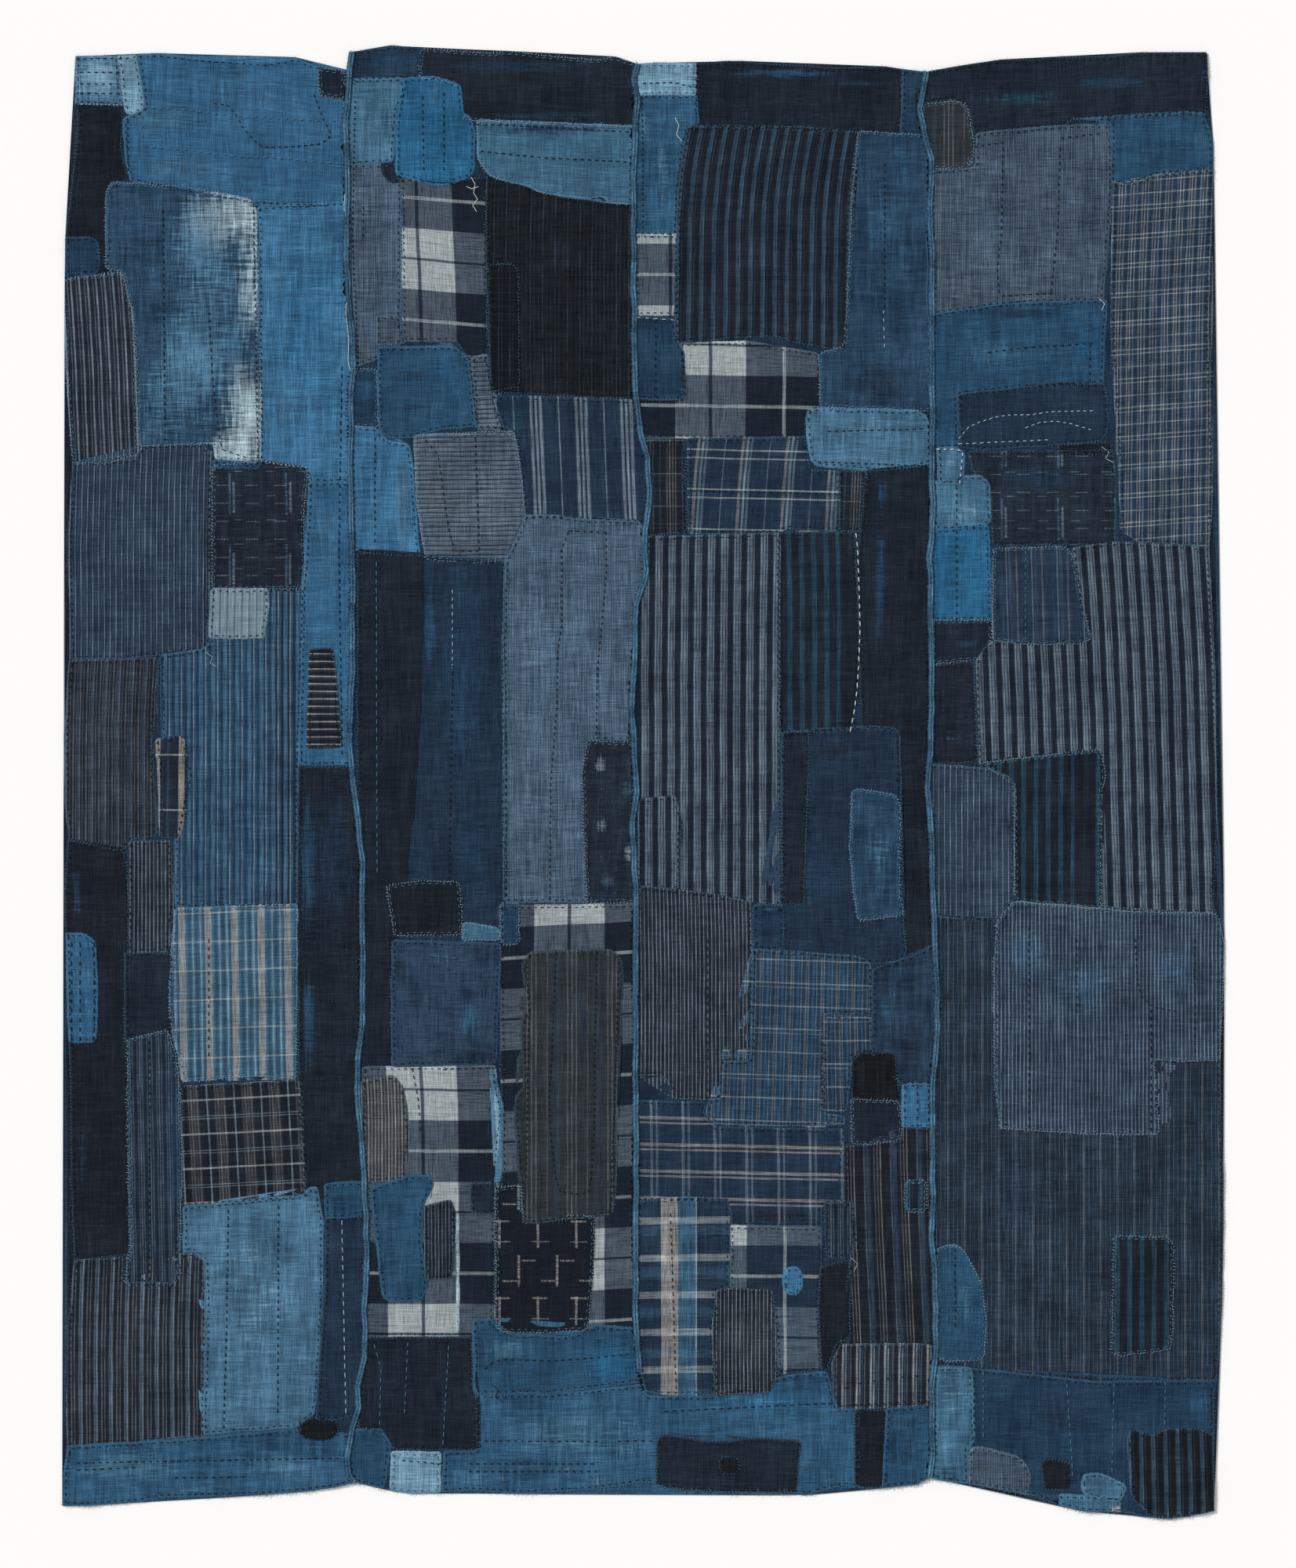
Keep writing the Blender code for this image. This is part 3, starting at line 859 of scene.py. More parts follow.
        weft=(Band(1607, 2.2, ONE, "sand", 1), Band(1652, 9, 47.5, "white", 1),
              Band(1674, 12, 52, "wash", 1), Band(1628, 9, ONE, "wash", 0.7)), weft_share=0.28),
    "ladder_plaid_cotton": Cloth("checked", warp=(
        Band(0, 1.6, 7.4, "ash", 0.9), Band(3.4, 1.3, 14.8, "sand", 0.9)),
        weft=(Band(0, 1.7, 36.7, "white", 1), Band(5.4, 1.5, 36.7, "white", 1),
              Band(21.6, 1.5, 36.7, "white", 0.9)), weft_share=0.27),
    "blue_kasuri_cotton": Cloth("plain", marks=(
        Mark(0, 0, 3, 54, 72, 91, "chambray", 0.9), Mark(5, 4, 3, 40, 72, 91, "ash", 0.6),
        Mark(28, -11, 16, 1.3, 37, 23, "ash", 0.5), Mark(52, 2, 12, 1.2, 41, 31, "ash", 0.45)),
        fade=0.45, slub=0.45),
    "sand_kasuri_cotton": Cloth("plain", marks=(
        Mark(0, 0, 3, 36, 49, 98, "sand", 1), Mark(24.5, 47, 3, 40, 49, 98, "sand", 1),
        Mark(-12, 34, 18, 2, 49, 98, "sand", 0.8), Mark(13, 60, 18, 2.2, 49, 98, "sand", 0.8),
        Mark(3, 82, 20, 2.4, 49, 98, "sand", 0.9), Mark(3, 10, 22, 1.8, 49, 98, "ash", 0.8)),
        fade=0.16),
}


# The patches

# A patch is cut to an outline and lies on one panel. Its cloth's grain leans by lean degrees, its
# crosswise yarns rise to the right by rise degrees, and bow swings its stripes' tops sideways.
# shift is the place on the cloth's own pattern that falls on the layout's origin.
Patch = namedtuple("Patch", "panel cloth dye outline shift lean rise bow corner sway hem rim stains",
                   defaults=((0, 0), 0, 0, 0, 3, 0.7, True, 0.25, ()))
# A stain is a faded or darkened place: its middle, its reach each way, its colour and strength.
Stain = namedtuple("Stain", "across down wide tall dye strength")
PLAIN, DARK, WASHED = "plain_indigo_cotton", "dark_indigo_cotton", "washed_indigo_cotton"
STREAKED, CHAMBRAY, CHECK = "streaked_indigo_cotton", "chambray_cotton", "bold_checked_cotton"
BOTH = 4  # the second and third panels together

PATCHES = (
    # First panel, from the top
    Patch(0, PLAIN, "midnight", ((160, 60), (452, 60), (452, 1910), (70, 1930), (74, 60)), hem=False),
    Patch(0, DARK, "soot", (
        (88, 128), (157, 130), (155, 183), (157, 202), (162, 226), (150, 240), (140, 350), (70, 350),
        (70, 300)), stains=(Stain(120, 260, 40, 60, "ink", 0.5),)),
    Patch(0, WASHED, "mid", (
        (90, 60), (150, 60), (157, 136), (88, 133)), stains=(Stain(125, 100, 50, 50, "pale", 0.9),)),
    Patch(0, PLAIN, "azure", (
        (173, 60), (251, 60), (455, 60), (455, 268), (321, 262), (231, 246), (166, 232), (158, 202),
        (156, 150), (184, 138)), rise=-3, stains=(
            Stain(230, 215, 90, 30, "wash", 0.7), Stain(210, 150, 80, 40, "mid", 0.6),
            Stain(330, 120, 90, 50, "mid", 0.4), Stain(300, 90, 60, 30, "deep", 0.4)),
        ),
    Patch(0, WASHED, "pale", ((148, 62), (173, 62), (185, 130), (184, 140), (166, 149), (158, 142))),
    Patch(0, DARK, "night", ((406, 85), (441, 91), (439, 127), (407, 122))),
    Patch(0, PLAIN, "deep", (
        (72, 302), (121, 302), (127, 310), (127, 350), (74, 356)), corner=5),
    Patch(0, WASHED, "azure", (
        (328, 262), (452, 256), (452, 616), (393, 616), (388, 600), (330, 594)), stains=(
            Stain(390, 420, 70, 190, "cobalt", 0.5), Stain(354, 350, 9, 60, "wash", 0.7),
            Stain(360, 510, 30, 60, "wash", 0.5))),
    Patch(0, STREAKED, "deep", (
        (142, 231), (231, 237), (320, 253), (328, 269), (330, 400), (334, 500), (334, 545), (333, 592),
        (273, 586), (271, 566), (176, 570), (168, 400), (155, 346), (134, 343), (134, 247)), stains=(
            Stain(300, 275, 85, 60, "ice", 0.8), Stain(320, 360, 26, 110, "ice", 0.65),
            Stain(265, 400, 90, 200, "wash", 0.6), Stain(250, 300, 50, 70, "wash", 0.7),
            Stain(245, 470, 60, 90, "wash", 0.8), Stain(318, 520, 46, 90, "ice", 0.85),
            Stain(300, 575, 60, 46, "ice", 0.85), Stain(200, 520, 60, 110, "mid", 0.5),
            Stain(298, 440, 14, 50, "indigo", 0.7)), rim=0.6),
    Patch(0, "grey_pair_striped_cotton", "night", (
        (70, 357), (134, 349), (155, 346), (169, 394), (174, 430), (177, 580), (134, 592), (70, 592)),
        shift=(118, 0), lean=2.2, bow=-3),
    Patch(0, "fine_blue_striped_cotton", "midnight", (
        (70, 590), (172, 585), (179, 567), (257, 565), (271, 579), (271, 643), (269, 763), (263, 830),
        (230, 834), (158, 841), (70, 841)), shift=(103.5, 0), bow=3,
        stains=(Stain(265, 700, 18, 220, "soot", 0.8),)),
    Patch(0, "blue_loom_striped_cotton", "deep", (
        (203, 836), (265, 825), (267, 813), (345, 748), (390, 748), (382, 977), (380, 1158),
        (222, 1158), (222, 1069), (240, 983), (205, 940))),
    Patch(0, "blue_kasuri_cotton", "ink", (
        (270, 594), (334, 586), (390, 594), (393, 603), (388, 657), (390, 752), (270, 752)),
        shift=(293, 630), stains=(Stain(320, 640, 60, 60, "night", 0.7),)),
    Patch(0, PLAIN, "indigo", ((271, 586), (331, 588), (331, 599), (271, 597)), corner=1),
    Patch(0, PLAIN, "azure", ((393, 614), (452, 614), (452, 977), (380, 977), (384, 752), (389, 697)),
          stains=(Stain(415, 700, 40, 160, "wash", 0.45), Stain(400, 900, 20, 80, "azure", 0.4))),
    Patch(0, "pale_striped_cotton", "ice", (
        (269, 750), (343, 750), (344, 774), (338, 803), (339, 815), (265, 815)), shift=(271, 0), lean=-1),
    Patch(0, "cross_barred_cotton", "soot", (
        (394, 827), (425, 826), (429, 858), (433, 911), (437, 954), (390, 955), (393, 858)),
        shift=(0, 834)),
    Patch(0, DARK, "ink", (
        (380, 977), (452, 977), (468, 1050), (470, 1103), (470, 1530), (413, 1530), (386, 1550),
        (380, 1377), (378, 1154)), stains=(
            Stain(392, 1100, 14, 160, "indigo", 0.8), Stain(394, 1300, 12, 100, "indigo", 0.9),
            Stain(425, 1100, 50, 160, "midnight", 0.8))),
    Patch(0, "brown_striped_cotton", "night", (
        (72, 842), (203, 838), (198, 903), (195, 949), (201, 1066), (169, 1071), (158, 1086),
        (123, 1080), (72, 1070)), shift=(93, 0), bow=4),
    Patch(0, "sand_barred_cotton", "night", (
        (197, 943), (230, 937), (238, 946), (241, 983), (239, 1037), (230, 1069), (203, 1070),
        (201, 986)), lean=-0.8),
    Patch(0, DARK, "soot", (
        (72, 1068), (158, 1080), (166, 1154), (166, 1600), (72, 1612)), stains=(
            Stain(97, 1140, 12, 60, "deep", 0.7), Stain(105, 1480, 10, 110, "deep", 0.5),
            Stain(125, 1280, 50, 130, "ink", 0.8))),
    Patch(0, PLAIN, "azure", (
        (72, 1191), (105, 1189), (121, 1198), (125, 1243), (125, 1297), (122, 1330), (97, 1331),
        (72, 1325)), stains=(Stain(105, 1235, 30, 40, "wash", 0.5),)),
    Patch(0, DARK, "night", ((158, 1214), (222, 1214), (222, 1330), (158, 1330)), rim=0.5),
    Patch(0, "pin_striped_cotton", "ink", (
        (163, 1073), (219, 1071), (222, 1154), (215, 1215), (162, 1216)), shift=(166, 0)),
    Patch(0, "sand_and_blue_striped_cotton", "mid", (
        (222, 1158), (380, 1152), (378, 1377), (326, 1373), (231, 1381), (227, 1350), (219, 1318),
        (215, 1283), (218, 1206)), shift=(233, 1237), lean=0.8, rise=2.2),
    Patch(0, "rib_striped_cotton", "night", (
        (162, 1325), (215, 1313), (225, 1347), (230, 1390), (233, 1483), (231, 1563), (230, 1627),
        (222, 1643), (158, 1644), (165, 1590), (161, 1430)), shift=(165, 0), lean=1,
        stains=(Stain(220, 1450, 18, 200, "midnight", 0.9),)),
    Patch(0, "brown_plaid_cotton", "soot", (
        (231, 1385), (381, 1377), (386, 1403), (389, 1483), (391, 1523), (374, 1531), (283, 1537),
        (234, 1539)), shift=(249, 1444), lean=3, rise=3),
    Patch(0, "brown_slate_striped_cotton", "ink", (
        (72, 1608), (158, 1603), (158, 1635), (222, 1635), (230, 1597), (246, 1597), (261, 1609),
        (264, 1693), (262, 1760), (262, 1836), (177, 1840), (72, 1846)), shift=(103, 0), bow=3,
        stains=(Stain(258, 1720, 9, 130, "soot", 0.9),)),
    Patch(0, WASHED, "wash", (
        (233, 1538), (389, 1523), (393, 1514), (406, 1514), (413, 1560), (413, 1640), (407, 1760),
        (402, 1805), (377, 1822), (257, 1831), (262, 1693), (261, 1609), (246, 1597), (233, 1597)),
        stains=(Stain(330, 1650, 90, 140, "pale", 0.35),)),
    Patch(0, PLAIN, "midnight", (
        (414, 1552), (470, 1550), (472, 1660), (462, 1800), (434, 1812), (402, 1812), (413, 1640))),
    Patch(0, PLAIN, "indigo", ((413, 1509), (470, 1505), (470, 1548), (443, 1554), (414, 1555)),
          stains=(Stain(435, 1530, 30, 30, "deep", 0.6),)),
    Patch(0, WASHED, "indigo", (
        (66, 1845), (257, 1833), (377, 1822), (462, 1830), (462, 1930), (60, 1940)), stains=(
            Stain(160, 1870, 120, 30, "mid", 0.8), Stain(360, 1870, 80, 30, "mid", 0.7),
            Stain(85, 1890, 30, 40, "cobalt", 0.5), Stain(250, 1900, 120, 20, "wash", 0.4))),
    Patch(0, DARK, "black", (
        (378, 1822), (386, 1811), (406, 1806), (425, 1810), (435, 1822), (430, 1834), (406, 1839),
        (384, 1835)), corner=6),

    # Second panel
    Patch(1, PLAIN, "midnight", ((440, 50), (830, 50), (830, 1910), (440, 1910)), hem=False),
    Patch(1, DARK, "ink", (
        (530, 50), (820, 50), (815, 170), (700, 160), (608, 156), (580, 146), (580, 107), (535, 100)),
        rise=-2, stains=(Stain(660, 85, 160, 14, "midnight", 0.9), Stain(700, 148, 140, 10, "deep", 0.7))),
    Patch(1, PLAIN, "midnight", ((440, 50), (545, 50), (536, 100), (440, 106)),
          stains=(Stain(500, 80, 60, 40, "deep", 0.9),)),
    Patch(1, WASHED, "mid", (
        (438, 100), (515, 98), (518, 122), (507, 138), (502, 207), (436, 212)),
        stains=(Stain(475, 180, 40, 40, "wash", 0.5),)),
    Patch(1, CHECK, "night", (
        (510, 225), (579, 230), (622, 224), (622, 343), (622, 423), (622, 480), (645, 550), (605, 550),
        (594, 454), (583, 436), (512, 436)), shift=(536, 334), lean=2, rise=-4.6, sway=0.4),
    Patch(1, CHAMBRAY, "chambray", (
        (438, 208), (490, 208), (513, 231), (512, 402), (512, 446), (440, 475)), stains=(
            Stain(470, 330, 50, 150, "slate", 0.9), Stain(500, 430, 30, 30, "umber", 0.8),
            Stain(460, 450, 30, 40, "umber", 0.6)), rim=0.1),
    Patch(1, CHAMBRAY, "slate", ((478, 403), (510, 401), (519, 439), (479, 441)), rim=0.6),
    Patch(1, DARK, "night", ((484, 206), (513, 208), (513, 234), (496, 234), (486, 220))),
    Patch(1, "cross_ribbed_cotton", "slate", (
        (600, 455), (622, 450), (640, 548), (606, 548)), shift=(0, 470), rise=2),
    Patch(1, "black_pin_striped_cotton", "black", (
        (620, 222), (670, 236), (715, 250), (776, 258), (816, 259), (820, 510), (700, 504),
        (624, 500), (618, 290)), shift=(645, 0), bow=2, rim=0.1),
    Patch(1, "black_grid_cotton", "black", (
        (622, 337), (654, 335), (662, 346), (663, 494), (625, 500)), shift=(636, 346), rim=0.15),
    Patch(1, PLAIN, "mid", (
        (608, 152), (816, 160), (816, 261), (776, 260), (768, 250), (750, 254), (715, 250), (688, 246),
        (670, 237), (627, 227), (616, 215), (608, 199)), rise=-2, rim=0.5, stains=(
            Stain(700, 165, 140, 12, "deep", 0.7), Stain(740, 235, 90, 25, "wash", 0.6),
            Stain(680, 190, 80, 20, "wash", 0.4))),
    Patch(1, PLAIN, "cobalt", (
        (515, 98), (555, 97), (588, 107), (591, 143), (602, 150), (606, 167), (606, 215), (600, 226),
        (568, 238), (539, 234), (504, 223), (504, 157), (508, 133)), rim=0.5,
        stains=(Stain(555, 120, 40, 30, "azure", 0.6),)),
    Patch(1, PLAIN, "deep", ((440, 470), (482, 470), (484, 545), (440, 545)), rim=0.5, sway=1.2,
          stains=(Stain(466, 500, 16, 30, "indigo", 0.9),)),
    Patch(1, WASHED, "azure", (
        (440, 542), (482, 545), (494, 561), (523, 566), (527, 590), (532, 657), (537, 713), (499, 710),
        (462, 706), (440, 697)), rim=0.5, stains=(
            Stain(514, 640, 18, 110, "wash", 0.9), Stain(466, 620, 22, 80, "indigo", 0.5))),
    Patch(1, PLAIN, "indigo", (
        (482, 442), (579, 440), (596, 454), (602, 483), (608, 545), (568, 547), (527, 558), (497, 561),
        (483, 550), (480, 497)), rim=0.5, stains=(
            Stain(530, 480, 60, 18, "deep", 0.6), Stain(530, 520, 60, 14, "deep", 0.6),
            Stain(570, 470, 30, 60, "cobalt", 0.4))),
    Patch(1, "sand_and_blue_grouped_cotton", "midnight", (
        (626, 503), (830, 510), (836, 550), (838, 590), (838, 670), (811, 668), (723, 663), (668, 663),
        (660, 577), (652, 549), (640, 545)), shift=(686, 0), lean=2.3,
        stains=(Stain(660, 540, 26, 60, "teal", 0.6),)),
    Patch(1, "cross_ribbed_cotton", "slate", (
        (527, 554), (595, 551), (656, 549), (662, 577), (667, 617), (671, 662), (672, 697), (667, 714),
        (598, 719), (542, 714), (531, 643)), shift=(0, 560), rise=0.6, rim=0.35,
        stains=(Stain(560, 640, 40, 90, "umber", 0.5), Stain(640, 600, 40, 90, "slate", 0.4))),
    Patch(1, DARK, "midnight", (
        (455, 704), (645, 714), (645, 1000), (648, 1160), (660, 1208), (655, 1365), (455, 1372)),
        rim=0, stains=(
            Stain(590, 860, 50, 220, "deep", 1), Stain(600, 1090, 40, 110, "deep", 0.8),
            Stain(548, 800, 12, 100, "indigo", 0.7), Stain(540, 1100, 30, 60, "deep", 0.7))),
    Patch(1, DARK, "ink", (
        (455, 700), (541, 705), (538, 900), (524, 1060), (520, 1130), (500, 1200), (500, 1372),
        (455, 1372)), rim=0, hem=False, corner=2, stains=(Stain(490, 1040, 30, 60, "night", 0.6),)),
    Patch(1, CHAMBRAY, "chambray", (
        (670, 656), (702, 656), (755, 662), (814, 663), (838, 697), (830, 745), (820, 774), (820, 945),
        (760, 945), (752, 1045), (756, 1152), (642, 1152), (640, 810), (643, 717)), rim=0.1, stains=(
            Stain(700, 850, 50, 160, "mid", 0.35), Stain(700, 1090, 60, 90, "slate", 0.5))),
    Patch(1, "resist_spotted_cotton", "night", (
        (749, 944), (820, 947), (824, 1152), (748, 1152), (743, 1045), (742, 981)), shift=(745, 940),
        stains=(
            Stain(766, 975, 12, 18, "ash", 0.7), Stain(800, 1008, 14, 22, "slate", 0.9),
            Stain(770, 1052, 13, 20, "ash", 0.6), Stain(802, 1088, 12, 18, "ash", 0.6),
            Stain(774, 1124, 16, 14, "slate", 0.9))),
    Patch(1, CHECK, "night", (
        (636, 1154), (822, 1152), (822, 1700), (610, 1700), (610, 1620), (640, 1540)),
        shift=(726, 1297), rise=3, sway=0.4, rim=0),
    Patch(1, DARK, "deep", ((638, 1150), (663, 1152), (663, 1205), (638, 1206)), rim=0.6),
    Patch(1, PLAIN, "mid", ((590, 1175), (638, 1183), (638, 1200), (588, 1200))),
    Patch(1, DARK, "soot", (
        (492, 1129), (542, 1122), (587, 1125), (591, 1183), (588, 1193), (502, 1194)), rim=0.15),
    Patch(1, CHECK, "night", (
        (462, 1360), (632, 1358), (636, 1390), (642, 1417), (639, 1443), (635, 1483), (632, 1510),
        (632, 1585), (630, 1690), (600, 1706), (455, 1706), (455, 1600)), shift=(540, 1390), rise=-0.4,
        bow=-3, sway=0.4, rim=0.1),
    Patch(1, STREAKED, "midnight", (
        (500, 1198), (640, 1203), (638, 1243), (634, 1357), (499, 1361), (498, 1256)), rim=0.45, stains=(
            Stain(560, 1220, 50, 20, "mid", 0.35), Stain(600, 1300, 30, 50, "indigo", 0.5),
            Stain(560, 1350, 80, 14, "midnight", 0.8))),
    Patch(1, "grey_pin_striped_cotton", "taupe", (
        (460, 1377), (502, 1371), (515, 1385), (520, 1417), (524, 1449), (519, 1483), (518, 1505),
        (475, 1509), (462, 1507)), shift=(468, 0), bow=-2),
    Patch(1, WASHED, "wash", (
        (624, 1363), (630, 1363), (637, 1390), (644, 1420), (641, 1457), (639, 1509), (630, 1509),
        (634, 1457), (636, 1420), (629, 1400)), corner=2, hem=False, rim=0.5,
        stains=(Stain(634, 1430, 8, 90, "pale", 0.8),)),
    Patch(1, PLAIN, "indigo", (
        (475, 1513), (520, 1499), (550, 1498), (555, 1510), (542, 1534), (538, 1580), (546, 1640),
        (539, 1659), (499, 1661), (487, 1656), (472, 1523)), rim=0.4,
        stains=(Stain(500, 1600, 30, 80, "deep", 0.5),)),
    Patch(1, "black_fine_striped_cotton", "soot", (
        (540, 1537), (576, 1530), (582, 1547), (579, 1613), (575, 1632), (542, 1633)), shift=(555, 0)),
    Patch(1, WASHED, "ice", ((582, 1552), (586, 1552), (586, 1700), (582, 1700)), corner=1, rim=0,
          hem=False),
    Patch(1, DARK, "night", ((600, 1508), (632, 1508), (634, 1548), (599, 1549)), rim=0.7, sway=1.2),
    Patch(1, "sand_kasuri_cotton", "soot", (
        (631, 1514), (666, 1511), (668, 1550), (759, 1550), (758, 1613), (752, 1683), (747, 1697),
        (691, 1701), (640, 1699), (632, 1691)), shift=(686, 1574)),
    Patch(1, "long_grey_striped_cotton", "umber", (
        (675, 1214), (776, 1210), (792, 1219), (796, 1238), (791, 1337), (788, 1377), (786, 1443),
        (787, 1510), (782, 1549), (702, 1559), (666, 1562), (662, 1510), (656, 1443), (656, 1398),
        (667, 1387), (664, 1302), (673, 1281), (664, 1233)), shift=(678, 0), rim=0.15, stains=(
            Stain(740, 1300, 40, 80, "storm", 0.5),)),
    Patch(2, PLAIN, "midnight", ((800, 70), (1200, 70), (1200, 1920), (800, 1920)), hem=False),
    Patch(BOTH, WASHED, "indigo", (
        (606, 1778), (702, 1777), (819, 1765), (825, 1780), (904, 1780), (992, 1757), (1003, 1753),
        (1055, 1748), (1068, 1795), (1096, 1797), (1096, 1920), (563, 1925), (565, 1850), (608, 1850)),
        rise=0.5, stains=(
            Stain(740, 1830, 150, 60, "mid", 0.8), Stain(980, 1790, 90, 40, "cobalt", 0.5),
            Stain(1050, 1850, 60, 60, "indigo", 0.6), Stain(600, 1885, 80, 20, "mid", 0.5),
            Stain(760, 1890, 20, 10, "ash", 0.5), Stain(720, 1878, 16, 10, "sand", 0.3))),
    Patch(1, DARK, "ink", (
        (460, 1705), (602, 1705), (604, 1773), (614, 1792), (612, 1850), (502, 1850), (488, 1829),
        (455, 1825)), rim=0.3, stains=(Stain(500, 1770, 60, 90, "night", 0.8),)),
    Patch(1, PLAIN, "indigo", (
        (602, 1683), (627, 1681), (634, 1693), (656, 1701), (728, 1704), (760, 1689), (808, 1693),
        (822, 1700), (822, 1763), (702, 1778), (604, 1779)), rise=2, rim=0.4, stains=(
            Stain(640, 1720, 60, 26, "wash", 0.7), Stain(660, 1768, 110, 22, "indigo", 1),
            Stain(780, 1740, 60, 40, "cobalt", 0.9), Stain(770, 1695, 40, 12, "indigo", 1),
            Stain(620, 1686, 20, 8, "indigo", 0.8))),
    Patch(1, PLAIN, "indigo", (
        (440, 1823), (488, 1822), (499, 1842), (494, 1884), (488, 1902), (440, 1900), (436, 1867)),
        rim=0.4, stains=(Stain(470, 1860, 30, 30, "deep", 0.5),)),
    Patch(1, WASHED, "pale", ((498, 1851), (563, 1852), (562, 1915), (497, 1912))),

    # Third panel
    Patch(2, DARK, "ink", (
        (884, 70), (1155, 70), (1150, 172), (1096, 170), (884, 163)), rise=-1.5, stains=(
            Stain(1000, 93, 130, 9, "indigo", 0.8), Stain(1090, 106, 80, 6, "deep", 0.8))),
    Patch(2, PLAIN, "deep", ((1150, 70), (1195, 70), (1195, 172), (1148, 172)),
          stains=(Stain(1170, 130, 14, 40, "ink", 0.8),)),
    Patch(2, WASHED, "indigo", (
        (800, 120), (889, 120), (893, 156), (874, 179), (866, 250), (864, 302), (800, 302)), stains=(
            Stain(845, 220, 14, 90, "wash", 0.7), Stain(820, 160, 20, 40, "mid", 0.7),
            Stain(870, 150, 20, 16, "mid", 0.5))),
    Patch(2, WASHED, "pale", ((800, 70), (888, 70), (889, 122), (800, 122)),
          stains=(Stain(850, 90, 40, 20, "wash", 0.5),)),
    Patch(2, CHECK, "night", (
        (800, 298), (866, 298), (866, 403), (800, 403)), shift=(855, 272), sway=0.4),
    Patch(2, CHECK, "night", (
        (866, 436), (951, 434), (1022, 446), (1046, 450), (1048, 520), (1028, 530), (1028, 558),
        (948, 560), (800, 560), (805, 508), (870, 508)), shift=(906, 440), rise=-1, sway=0.4),
    Patch(2, WASHED, "deep", (
        (1094, 166), (1182, 172), (1200, 208), (1200, 526), (1045, 520), (1044, 450), (1076, 440),
        (1080, 378), (1086, 247)), stains=(
            Stain(1130, 280, 50, 120, "indigo", 0.5), Stain(1120, 490, 70, 45, "midnight", 0.9),
            Stain(1150, 200, 30, 40, "indigo", 0.6))),
    Patch(2, "black_and_blue_striped_cotton", "soot", (
        (876, 159), (1022, 161), (1096, 167), (1094, 200), (1087, 247), (1085, 288), (1082, 378),
        (1081, 446), (1063, 446), (1014, 438), (992, 430), (948, 431), (861, 438), (859, 405),
        (862, 323), (862, 255), (867, 208)), shift=(895, 0), bow=15, lean=-0.6, rim=0.15,
        stains=(Stain(866, 330, 14, 140, "black", 0.8),)),
    Patch(2, PLAIN, "deep", (
        (800, 402), (860, 405), (866, 438), (874, 449), (874, 511), (800, 510)), rim=0.4,
        stains=(Stain(835, 440, 30, 40, "indigo", 0.5), Stain(870, 480, 6, 40, "night", 0.9))),
    Patch(2, "dark_plaid_cotton", "soot", (
        (815, 561), (874, 558), (877, 678), (815, 686)), shift=(851, 646)),
    Patch(2, "dark_plaid_cotton", "ink", (
        (1068, 600), (1107, 600), (1107, 678), (1070, 678)), shift=(1086, 640), lean=-3),
    Patch(2, "grouped_plaid_cotton", "midnight", (
        (876, 558), (1028, 556), (1033, 598), (1072, 600), (1072, 678), (1000, 675), (996, 681),
        (877, 682)), shift=(891, 575), lean=-3.5, rise=-1.2, bow=3, sway=0.5),
    Patch(2, WASHED, "wash", (
        (1026, 526), (1033, 519), (1178, 523), (1200, 561), (1200, 588), (1161, 598), (1123, 602),
        (1033, 594)), corner=8, sway=1, rim=0.5, stains=(
            Stain(1100, 545, 60, 30, "pale", 0.3), Stain(1060, 560, 30, 40, "mid", 0.4))),
    Patch(2, DARK, "ink", (
        (1104, 598), (1200, 592), (1200, 1385), (1145, 1385), (1140, 1217), (1140, 933), (1098, 930),
        (1092, 720)), rim=0.1, stains=(
            Stain(1122, 740, 12, 140, "deep", 0.9), Stain(1125, 630, 12, 40, "indigo", 0.6),
            Stain(1160, 1100, 40, 120, "soot", 0.7))),
    Patch(2, "teal_striped_cotton", "ink", (
        (990, 678), (1090, 678), (1098, 810), (1096, 865), (1092, 900), (1087, 933), (990, 936)),
        shift=(1007, 0), bow=-2, rim=0.1),
    Patch(2, "grey_loom_striped_cotton", "ink", (
        (820, 684), (996, 679), (996, 930), (1000, 1156), (951, 1150), (870, 1142), (800, 1136),
        (800, 740)), shift=(839, 0), bow=2, rim=0.2),
    Patch(2, "grey_loom_striped_cotton", "ink", (
        (814, 1019), (862, 1014), (870, 1045), (867, 1135), (812, 1131)), shift=(844, 0), rim=0.4),
    Patch(2, DARK, "midnight", (
        (998, 932), (1098, 926), (1139, 926), (1148, 933), (1150, 1001), (1153, 1170), (1157, 1217),
        (1148, 1227), (1115, 1230), (955, 1212), (996, 1150)), corner=5, rim=0.5, stains=(
            Stain(1040, 1120, 60, 60, "deep", 0.7), Stain(1060, 960, 60, 30, "ink", 0.6))),
    Patch(2, DARK, "night", ((996, 932), (1033, 932), (1030, 1040), (1026, 1154), (994, 1154)), rim=0.6),
    Patch(2, WASHED, "deep", (
        (1086, 1007), (1096, 1005), (1145, 1014), (1149, 1029), (1148, 1138), (1153, 1168),
        (1109, 1174), (1093, 1174), (1088, 1138), (1083, 1083)), rim=0.6, stains=(
            Stain(1120, 1090, 26, 70, "mid", 0.5),)),
    Patch(2, PLAIN, "deep", ((960, 1153), (1000, 1153), (1000, 1212), (960, 1211)),
          stains=(Stain(980, 1160, 20, 6, "wash", 0.8), Stain(980, 1195, 20, 20, "midnight", 0.6))),
    Patch(2, "pin_striped_cotton", "ink", (
        (800, 1136), (822, 1130), (899, 1138), (951, 1148), (960, 1152), (962, 1250), (959, 1354),
        (924, 1355), (922, 1403), (858, 1403), (852, 1381), (844, 1372), (800, 1372)), shift=(818, 0),
        bow=-2),
    Patch(2, "small_plaid_cotton", "deep", (
        (958, 1209), (1098, 1219), (1113, 1231), (1115, 1296), (1053, 1292), (1051, 1419), (1079, 1424),
